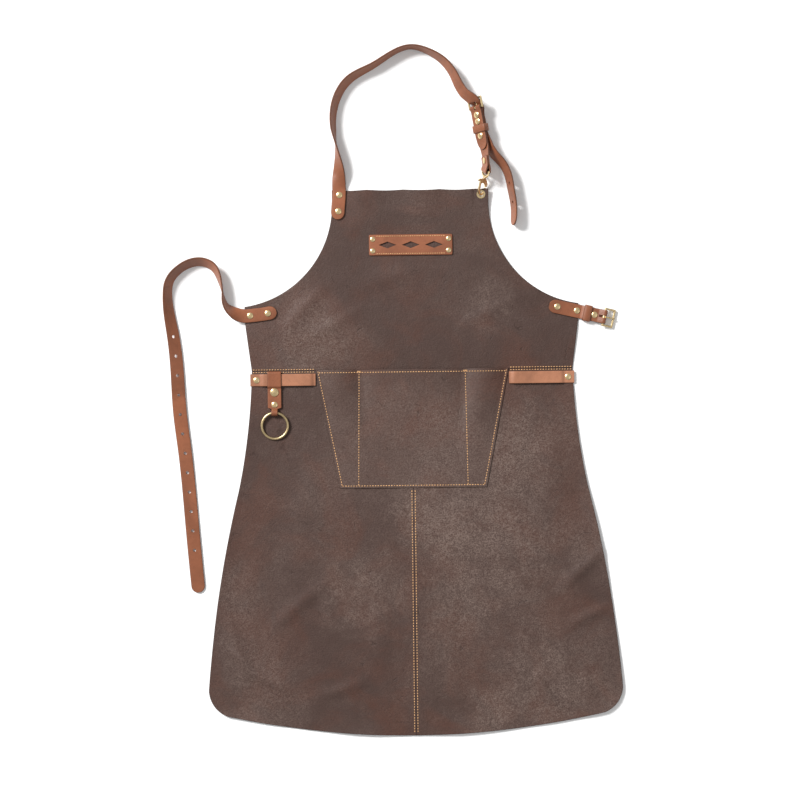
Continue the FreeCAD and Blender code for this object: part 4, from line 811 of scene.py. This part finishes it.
class APRON_OT_neck(bpy.types.Operator):
    """The neck strap, woven through its buckle, and the strip that joins buckle and clasp"""

    bl_idname = "apron.neck"
    bl_label = "Neck strap"

    def execute(self, context):
        s = context.scene.apron
        width, thick = s.strap_width / MM, s.strap_thick / MM
        course = neck_line()
        bar = course.marks[21]  # the stop on the buckle's heel bar
        weave, _, _ = spline([(-38, 0), (-26, -2.2), (-14.5, -3.5), (-10.5, -2.3), (-4.3, 4.3), (0, 5.9),
                              (5, 5.4), (12, 3.85), (20, 3.75), (30, 3.95), (42, 4.3), (62, 0)], 1.2)
        runs = tip_runs(course.length, 2.0)
        before, after = runs[runs < bar - 39], runs[runs > bar + 63]
        runs = np.concatenate([before, bar + weave[:, 0], after])
        heights = np.concatenate([before * 0, weave[:, 1], after * 0])
        points, side = course.over(runs, heights)
        wide = np.minimum(nose(runs, width), nose(course.length - runs, width))
        piece = strap("neck_leather", points, side, wide, thick)
        last = course.length - HOLE_FROM_TIP
        cutters = course_holes(course, [last, last + HOLE_PITCH], HOLE_RADIUS)
        carve(piece, cutters + [seat_box(NECK_BAR, (-10, -1.5), 1.6, (-2.5, 7.5))])
        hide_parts("neck_strap")
        self.joiner()
        self.keeper("neck_keeper", NECK_BAR, 25, -2.35, 7.7)
        return {"FINISHED"}

    @staticmethod
    def joiner():
        """The strip folded round the buckle's bar at one end and the clasp's eye at the other."""
        stops = [(*NECK_BAR.point(x, 0, 0), 135) for x in (-5, 0, 14, 28, 42)]
        ex, ey, ez = CLASP_EYE
        stops += [(ex - 2.6, ey + 34, 13.4, 124), (ex - 0.7, ey + 17, ez + 0.9, 110), (ex, ey, ez, 110),
                  (*(CLASP_EYE + CLASP_WAY * 5), 110)]
        course = Course(stops)
        bar, eye = course.marks[1], course.marks[-2]
        route = [(eye - 21, -LAYER, 16), (eye - 19.5, -LAYER, 20), (eye - 9.6, -LAYER, 20),
                 (eye - 8.2, -LAYER - 0.12, 20), (eye - 4, -EYE_RADIUS * 0.75, 20)]
        route += turn(eye, 0, EYE_RADIUS, -90, 90, 20)
        route += [(eye - 4, EYE_RADIUS * 0.75, 20), (eye - 8.2, LAYER + 0.12, 20), (eye - 9.6, LAYER, 20),
                  (bar + 8, LAYER, 20), (bar + 5.6, LAYER + 0.2, 20)]
        route += turn(bar, 0, FOLD_RADIUS, 90, 270, 20)
        route += [(bar + 4.6, -LAYER - 0.15, 20), (bar + 5.6, -LAYER, 20), (bar + 51, -LAYER, 20)]
        route += [(bar + 61 - short, -LAYER, float(nose(short, 20.0)))
                  for short in (8, 6, 4, 2.4, 1.2, 0.4, 0)]
        route = eased(route)
        points, side = course.over(route[:, 0], route[:, 1])
        piece = strap("buckle_leather", points, side, route[:, 2], FOLD, crown=0.0)
        carve(piece, [seat_box(NECK_BAR, *PRONG_SLOT)])
        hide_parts("buckle_strap")

    @staticmethod
    def keeper(node, seat, start, low, room):
        """A flat loop: an oblong path round the strap with corners of 1.3 mm, carrying a section 11 mm
        wide and 1.6 mm thick."""
        half, r = 10.3 + 0.8, 1.3
        corners = [(half, low - 0.8), (half, low + room + 0.8), (-half, low + room + 0.8), (-half, low - 0.8)]
        path = []
        for k, (y, z) in enumerate(corners):
            angle = np.radians(np.linspace(-90, 0, 6) + 90 * k)
            middle = y - math.copysign(r, y), z + (r if k in (0, 3) else -r)
            path += [(middle[0] + r * math.cos(a), middle[1] + r * math.sin(a)) for a in angle]
        path = np.array(path)
        way = np.roll(path, -1, 0) - np.roll(path, 1, 0)
        way /= np.linalg.norm(way, axis=1, keepdims=True)
        out = np.stack([way[:, 1], -way[:, 0]], -1)
        section = [(-5.5, -0.3), (-5, -0.8), (5, -0.8), (5.5, -0.3), (5.5, 0.3), (5, 0.8), (-5, 0.8),
                   (-5.5, 0.3)]
        points = [seat.origin + seat.x * (start + 5.5 + a) + (path[:, :1] + out[:, :1] * h) * seat.y
                  + (path[:, 1:] + out[:, 1:] * h) * seat.z for a, h in section]
        grid = np.stack(points)
        faces = grid_faces(len(section) + 1, len(path), wrap=True) % grid[..., 0].size
        rim = np.repeat([1, 0.3, 0.3, 1, 1, 0.3, 0.3, 1], len(path))
        piece = add_piece(node + "_leather", grid.reshape(-1, 3), faces.tolist(), "strap", rim=rim)
        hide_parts(node)


def long_stop(x, y, roll, lift=0.0):
    """A stop of the long tie strap, from the left wing's corner."""
    return (-WING + x, WING_TOP + y, edge_height(roll, lift), roll)


class APRON_OT_tie(bpy.types.Operator):
    """The long tie strap: flat on the wing, over on its edge in a loop, then down, face under"""

    bl_idname = "apron.tie"
    bl_label = "Long tie strap"

    def execute(self, context):
        s = context.scene.apron
        width, thick, flat = s.strap_width / MM, s.strap_thick / MM, SEAT_FLAT
        course = Course([long_stop(*stop) for stop in (
            (46.7, -7.2, 0, flat), (34.1, -9.9, 0, flat), (20, -11.8, 0, flat), (8.3, -13, 0, flat + 0.15),
            (-2, -13.2, 0, flat + 0.55), (-9.5, -11.4, -18, 1.4), (-18, -6.5, -45, 0.6),
            (-26.5, 2.4, -72, 0.2),
            (-31, 21, -94), (-35, 39, -108), (-44.5, 58.6, -122), (-60, 65.9, -124), (-75.5, 65, -122),
            (-93.5, 56, -119), (-108.6, 38, -120), (-111.5, 17.5, -124), (-109.5, -8, -134),
            (-104.6, -38, -145), (-99, -94, -158), (-96, -151, -170, 0.3), (-89.5, -209, -180, 0.3),
            (-79.5, -325, -180, 0.1), (-71.6, -416.5, -180))])
        runs = tip_runs(course.length, 2.4)
        points, side = course.over(runs, runs * 0)
        wide = np.minimum(nose(runs, width), nose(course.length - runs, width))
        piece = strap("tie_leather", points, side, wide, thick)
        last = course.length - HOLE_FROM_TIP
        carve(piece, course_holes(course, [last - HOLE_PITCH * k for k in range(HOLE_COUNT)], HOLE_RADIUS))
        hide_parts("side_strap_long")
        return {"FINISHED"}


class APRON_OT_side(bpy.types.Operator):
    """The short strap: riveted to the wing and folded back round the side buckle's bar"""

    bl_idname = "apron.side"
    bl_label = "Short side strap"

    def execute(self, context):
        low, high, on_bib, tip = -FOLD_RADIUS, -0.684, -3.2, 82.3
        route = [(31, low, 20), (16, low, 20), (5, low, 20)]
        route += turn(0, 0, FOLD_RADIUS, 270, 70, 20)
        route += [(8.4, high + 0.25, 20), (9.6, high, 20), (30.8, high, 20), (34.2, on_bib + 0.1, 20),
                  (35.0, on_bib, 20)]
        route += [(tip - short, on_bib, float(nose(short, 20.0)))
                  for short in (12, 9, 7, 5, 3.2, 1.8, 0.8, 0.25, 0)]
        route = eased(route)
        points = SIDE_BAR.origin + route[:, :1] * SIDE_BAR.x + route[:, 1:2] * SIDE_BAR.z
        side = np.broadcast_to(SIDE_BAR.y, points.shape)
        piece = strap("side_leather", points, side, route[:, 2], FOLD, crown=0.0)
        carve(piece, [seat_box(SIDE_BAR, *PRONG_SLOT)])
        # the slot runs on in the front leaf, so that the prong can fold back
        carve(piece, [seat_box(SIDE_BAR, (0.0, 7.8), 1.8, (-0.4, 8.0))])
        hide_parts("side_strap_short")
        APRON_OT_neck.keeper("side_keeper", SIDE_BAR, 19.3, -FOLD_RADIUS - 1.3, 5.2)
        return {"FINISHED"}


class APRON_OT_hanger(bpy.types.Operator):
    """The hanger: a strip folded over the left band above and round the ring below"""

    bl_idname = "apron.hanger"
    bl_label = "Hanger and ring"

    def execute(self, context):
        axis, back, front, join, down = -60.9, 2.5, 7.0, 4.2, -22.1
        neck, ring_z = 9.2, 6.4
        route = [(axis + 5.2, back, neck), (axis + 7.5, back, 20), (down, back, 20)]
        route += turn(-3.5, 4.75, 2.25, -90, 90, 20)
        route += [(down, front, 20), (down - 1.2, front - 1.0, 20), (down - 3, join + 0.1, 20),
                  (down - 4, join, 20), (axis + 7.0, join, 20), (axis + 5.6, join + 0.8, neck)]
        route += turn(axis, ring_z, ring_z - back, 15, 250, neck)
        route += [(axis + 1, back, neck), (axis + 4.6, back, neck)]
        route = eased(route, 0.8)
        points = np.stack([np.full(len(route), HANGER_X), route[:, 0], route[:, 1]], -1)
        side = np.broadcast_to([-1.0, 0.0, 0.0], points.shape)
        piece = strap("hanger_leather", points, side, route[:, 2], 1.6, body="hanger", crown=0.0)
        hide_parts("hanger_strap")
        far_z = 3.65  # where the ring's far side rests on the skirt
        lean = math.asin((ring_z - far_z) / (2 * RING_RADIUS))
        u, v = np.meshgrid(np.linspace(0, 2 * math.pi, 96, endpoint=False),
                           np.linspace(0, 2 * math.pi, 24, endpoint=False), indexing="ij")
        reach = RING_RADIUS + RING_WIRE * np.cos(v)
        x, y, z = reach * np.cos(u), reach * np.sin(u) - RING_RADIUS, RING_WIRE * np.sin(v)
        y, z = y * math.cos(lean) - z * math.sin(lean), y * math.sin(lean) + z * math.cos(lean)
        grid = np.stack([x + HANGER_X, y + axis, z + ring_z], -1).reshape(-1, 3)
        faces = grid_faces(97, 24, wrap=True) % len(grid)
        ring = add_piece("ring_wire", grid, faces.tolist(), "steel", body="ring")
        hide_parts("tool_ring")
        return {"FINISHED"}


# ------------------------------------------------------------------ stitches


def thread_rows(name, rows, height, pitch=None):
    """Rows of stitches. Each is a spindle: a six-sided tube whose radius is 0.6 (1 - t^4) + 0.05, t from
    -1 to 1 along it. Rows are lines of (x, y) points, and height gives the leather's face there."""
    pitch = pitch or bpy.context.scene.apron.stitch_pitch / MM
    middles, ways = [], []
    for row in rows:
        row = np.array(row, float)
        run = np.concatenate([[0], np.cumsum(np.hypot(*np.diff(row, axis=0).T))])
        count = max(1, int(run[-1] / pitch))
        at = (np.arange(count) + 0.5) * run[-1] / count
        x, y = np.interp(at, run, row[:, 0]), np.interp(at, run, row[:, 1])
        way = np.stack([np.interp(at + 0.5, run, row[:, c]) - np.interp(at - 0.5, run, row[:, c])
                        for c in (0, 1)], -1)
        middles.append(np.stack([x, y], -1))
        ways.append(way / np.linalg.norm(way, axis=1, keepdims=True))
    middle, way = np.concatenate(middles), np.concatenate(ways)
    t = np.array([-1, -0.72, 0.0, 0.72, 1])
    radius = 0.60 * (1 - np.abs(t) ** 4) + 0.05
    angle = np.linspace(0, 2 * math.pi, 6, endpoint=False)
    along = np.repeat(t * pitch * 0.34, 6)
    across = (radius[:, None] * np.cos(angle)).reshape(-1)
    high = (radius[:, None] * np.sin(angle) * 0.8).reshape(-1) - 0.3 * np.repeat(np.abs(t) ** 2, 6)
    x = middle[:, :1] + way[:, :1] * along - way[:, 1:] * across
    y = middle[:, 1:] + way[:, 1:] * along + way[:, :1] * across
    z = height(middle[:, 0], middle[:, 1])[:, None] + 0.22 + high[None]
    points = np.stack([x, y, z], -1).reshape(-1, 3)
    one = grid_faces(5, 6, wrap=True)
    quads = (one[None] + 30 * np.arange(len(middle))[:, None, None]).reshape(-1, 4).tolist()
    ends = [[30 * k + c for c in order] for k in range(len(middle))
            for order in (range(5, -1, -1), range(24, 30))]
    return add_piece(name, points, quads + ends, "thread")


def panel_top(x, y):
    """The face of the bib or the skirt."""
    return lie(x, y) + 1.6


def seam_top(x, y):
    """The skirt's face beside the middle seam."""
    return panel_top(x, y) + seam_rise(x, y)


def pocket_top(x, y):
    """The pocket row's face."""
    return pocket_low(x, y) + 1.4


class APRON_OT_stitches(bpy.types.Operator):
    """Every row of stitches: waist, middle seam, pocket edges and dividers, and patch"""

    bl_idname = "apron.stitches"
    bl_label = "Stitches"

    def execute(self, context):
        waist = [((way * 142.5, y), (way * 233.5, y)) for way in (-1, 1) for y in (-1.9, 1.9)]
        thread_rows("waist_stitches", waist, panel_top)
        foot = [((x, POCKET_LOW - 3), (x, HEM + 4)) for x in (-2.4, 2.4)]
        thread_rows("middle_stitches", foot, seam_top)
        edges = []
        for way in (-1, 1):
            for above, below in ((POCKET_HALF - 3.2, POCKET_LOW_HALF - 3.4), (DIVIDER, DIVIDER + 2.4)):
                edges += [((way * above, POCKET_TOP - 1.5), (way * below, POCKET_LOW + 3.6))]
        edges += [((-POCKET_LOW_HALF + 3, POCKET_LOW + 3.6), (POCKET_LOW_HALF - 3, POCKET_LOW + 3.6))]
        edges += [((-POCKET_HALF + 4, POCKET_TOP - 4.2), (POCKET_HALF - 4, POCKET_TOP - 4.2))]
        tacks = [((way * DIVIDER - 3.2, POCKET_TOP - down), (way * DIVIDER + 3.2, POCKET_TOP - down))
                 for down in (2.6, 3.6) for way in (-1, 1)]
        thread_rows("pocket_stitches", edges, pocket_top)
        thread_rows("pocket_tacks", tacks, pocket_top, 1.6)
        rise, half = PATCH_RISE - 2.6, PATCH_HALF - 2.8
        patch = [((-half + 8, PATCH_Y + way * rise), (half - 8, PATCH_Y + way * rise)) for way in (-1, 1)]
        thread_rows("patch_stitches", patch, lambda x, y: np.full_like(x, 3.6), 3.2)
        return {"FINISHED"}


# ------------------------------------------------------------------ metal and stage


class APRON_OT_metal(bpy.types.Operator):
    """Gives the rivets, buckles, clasp and stud their brass"""

    bl_idname = "apron.metal"
    bl_label = "Brass parts"

    def execute(self, context):
        polished = ("patch_rivets", "neck_strap_rivets", "long_strap_rivets", "short_strap_rivets",
                    "short_fold_rivet", "band_rivet_right", "band_rivet_left", "hanger_rivet",
                    "buckle_strap_rivets", "stud_cap", "stud_post", "clasp_hook", "clasp_eye",
                    "clasp_trigger", "clasp_pin", "bib_eyelet")
        dull = ("neck_buckle", "neck_prong", "side_buckle", "side_prong")
        for names, look in ((polished, "brass"), (dull, "steel")):
            for name in names:
                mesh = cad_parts[name].data
                mesh.materials.clear()
                mesh.materials.append(finish(look))
        return {"FINISHED"}


LAMPS = (("key", (-3.3, 2.5, 3.5), 440, 1.35), ("fill", (1.9, -0.6, 2.4), 8, 1.8))  # place, watts, size
CAMERA_PLACE, CAMERA_TURN, LENS = (-0.0183, -0.0443, 2.7625), math.radians(-0.68), 85
PAPER, SKY_STRENGTH = (0.93, 0.93, 0.93, 1), 0.5


class APRON_OT_stage(bpy.types.Operator):
    """A pale floor, soft light from the upper left and a camera straight above"""

    bl_idname = "apron.stage"
    bl_label = "Stage"

    def execute(self, context):
        scene = context.scene
        floor = bpy.data.meshes.new("floor")
        corners = [(-6, -6, -0.0004), (6, -6, -0.0004), (6, 6, -0.0004), (-6, 6, -0.0004)]
        floor.from_pydata(corners, [], [(0, 1, 2, 3)])
        paper = Finish("paper", Roughness=0.9, Specular_IOR_Level=0.1)
        paper.shader.inputs["Base Color"].default_value = PAPER
        floor.materials.append(paper.material)
        ground = bpy.data.objects.new("floor", floor)
        scene.collection.objects.link(ground)
        for name, place, energy, reach in LAMPS:
            lamp = bpy.data.lights.new(name, "AREA")
            lamp.energy, lamp.size = energy, reach
            light = bpy.data.objects.new(name, lamp)
            light.location = place
            light.rotation_euler = (Vector((0, 0, 0)) - Vector(place)).to_track_quat("-Z", "Y").to_euler()
            scene.collection.objects.link(light)
        world = bpy.data.worlds.new("studio")
        world.use_nodes = True
        sky = world.node_tree.nodes["Background"]
        sky.inputs["Color"].default_value = (1, 1, 1, 1)
        sky.inputs["Strength"].default_value = SKY_STRENGTH
        scene.world = world
        camera = bpy.data.cameras.new("camera")
        camera.lens, camera.sensor_width = LENS, 36
        camera.clip_end = 50
        eye = bpy.data.objects.new("camera", camera)
        eye.location = CAMERA_PLACE
        eye.rotation_euler = (0, 0, CAMERA_TURN)
        scene.collection.objects.link(eye)
        scene.camera = eye
        scene.view_settings.view_transform = "Standard"
        return {"FINISHED"}


OPERATORS = (APRON_OT_bib, APRON_OT_skirt, APRON_OT_pocket, APRON_OT_patch, APRON_OT_bands, APRON_OT_neck,
             APRON_OT_tie, APRON_OT_side, APRON_OT_hanger, APRON_OT_stitches, APRON_OT_metal, APRON_OT_stage)


class APRON_PT_panel(bpy.types.Panel):
    bl_label = "Apron"
    bl_idname = "APRON_PT_panel"
    bl_space_type = "VIEW_3D"
    bl_region_type = "UI"
    bl_category = "Apron"

    def draw(self, context):
        for key in ApronSettings.__annotations__:
            self.layout.prop(context.scene.apron, key)
        for operator in OPERATORS:
            self.layout.operator(operator.bl_idname)


def register():
    for item in (ApronSettings, *OPERATORS, APRON_PT_panel):
        bpy.utils.register_class(item)
    bpy.types.Scene.apron = bpy.props.PointerProperty(type=ApronSettings)


def unregister():
    del bpy.types.Scene.apron
    for item in (APRON_PT_panel, *reversed(OPERATORS), ApronSettings):
        bpy.utils.unregister_class(item)


def main():
    register()
    for operator in OPERATORS:
        family, _, name = operator.bl_idname.partition(".")
        getattr(getattr(bpy.ops, family), name)()


if __name__ == "__main__":
    main()
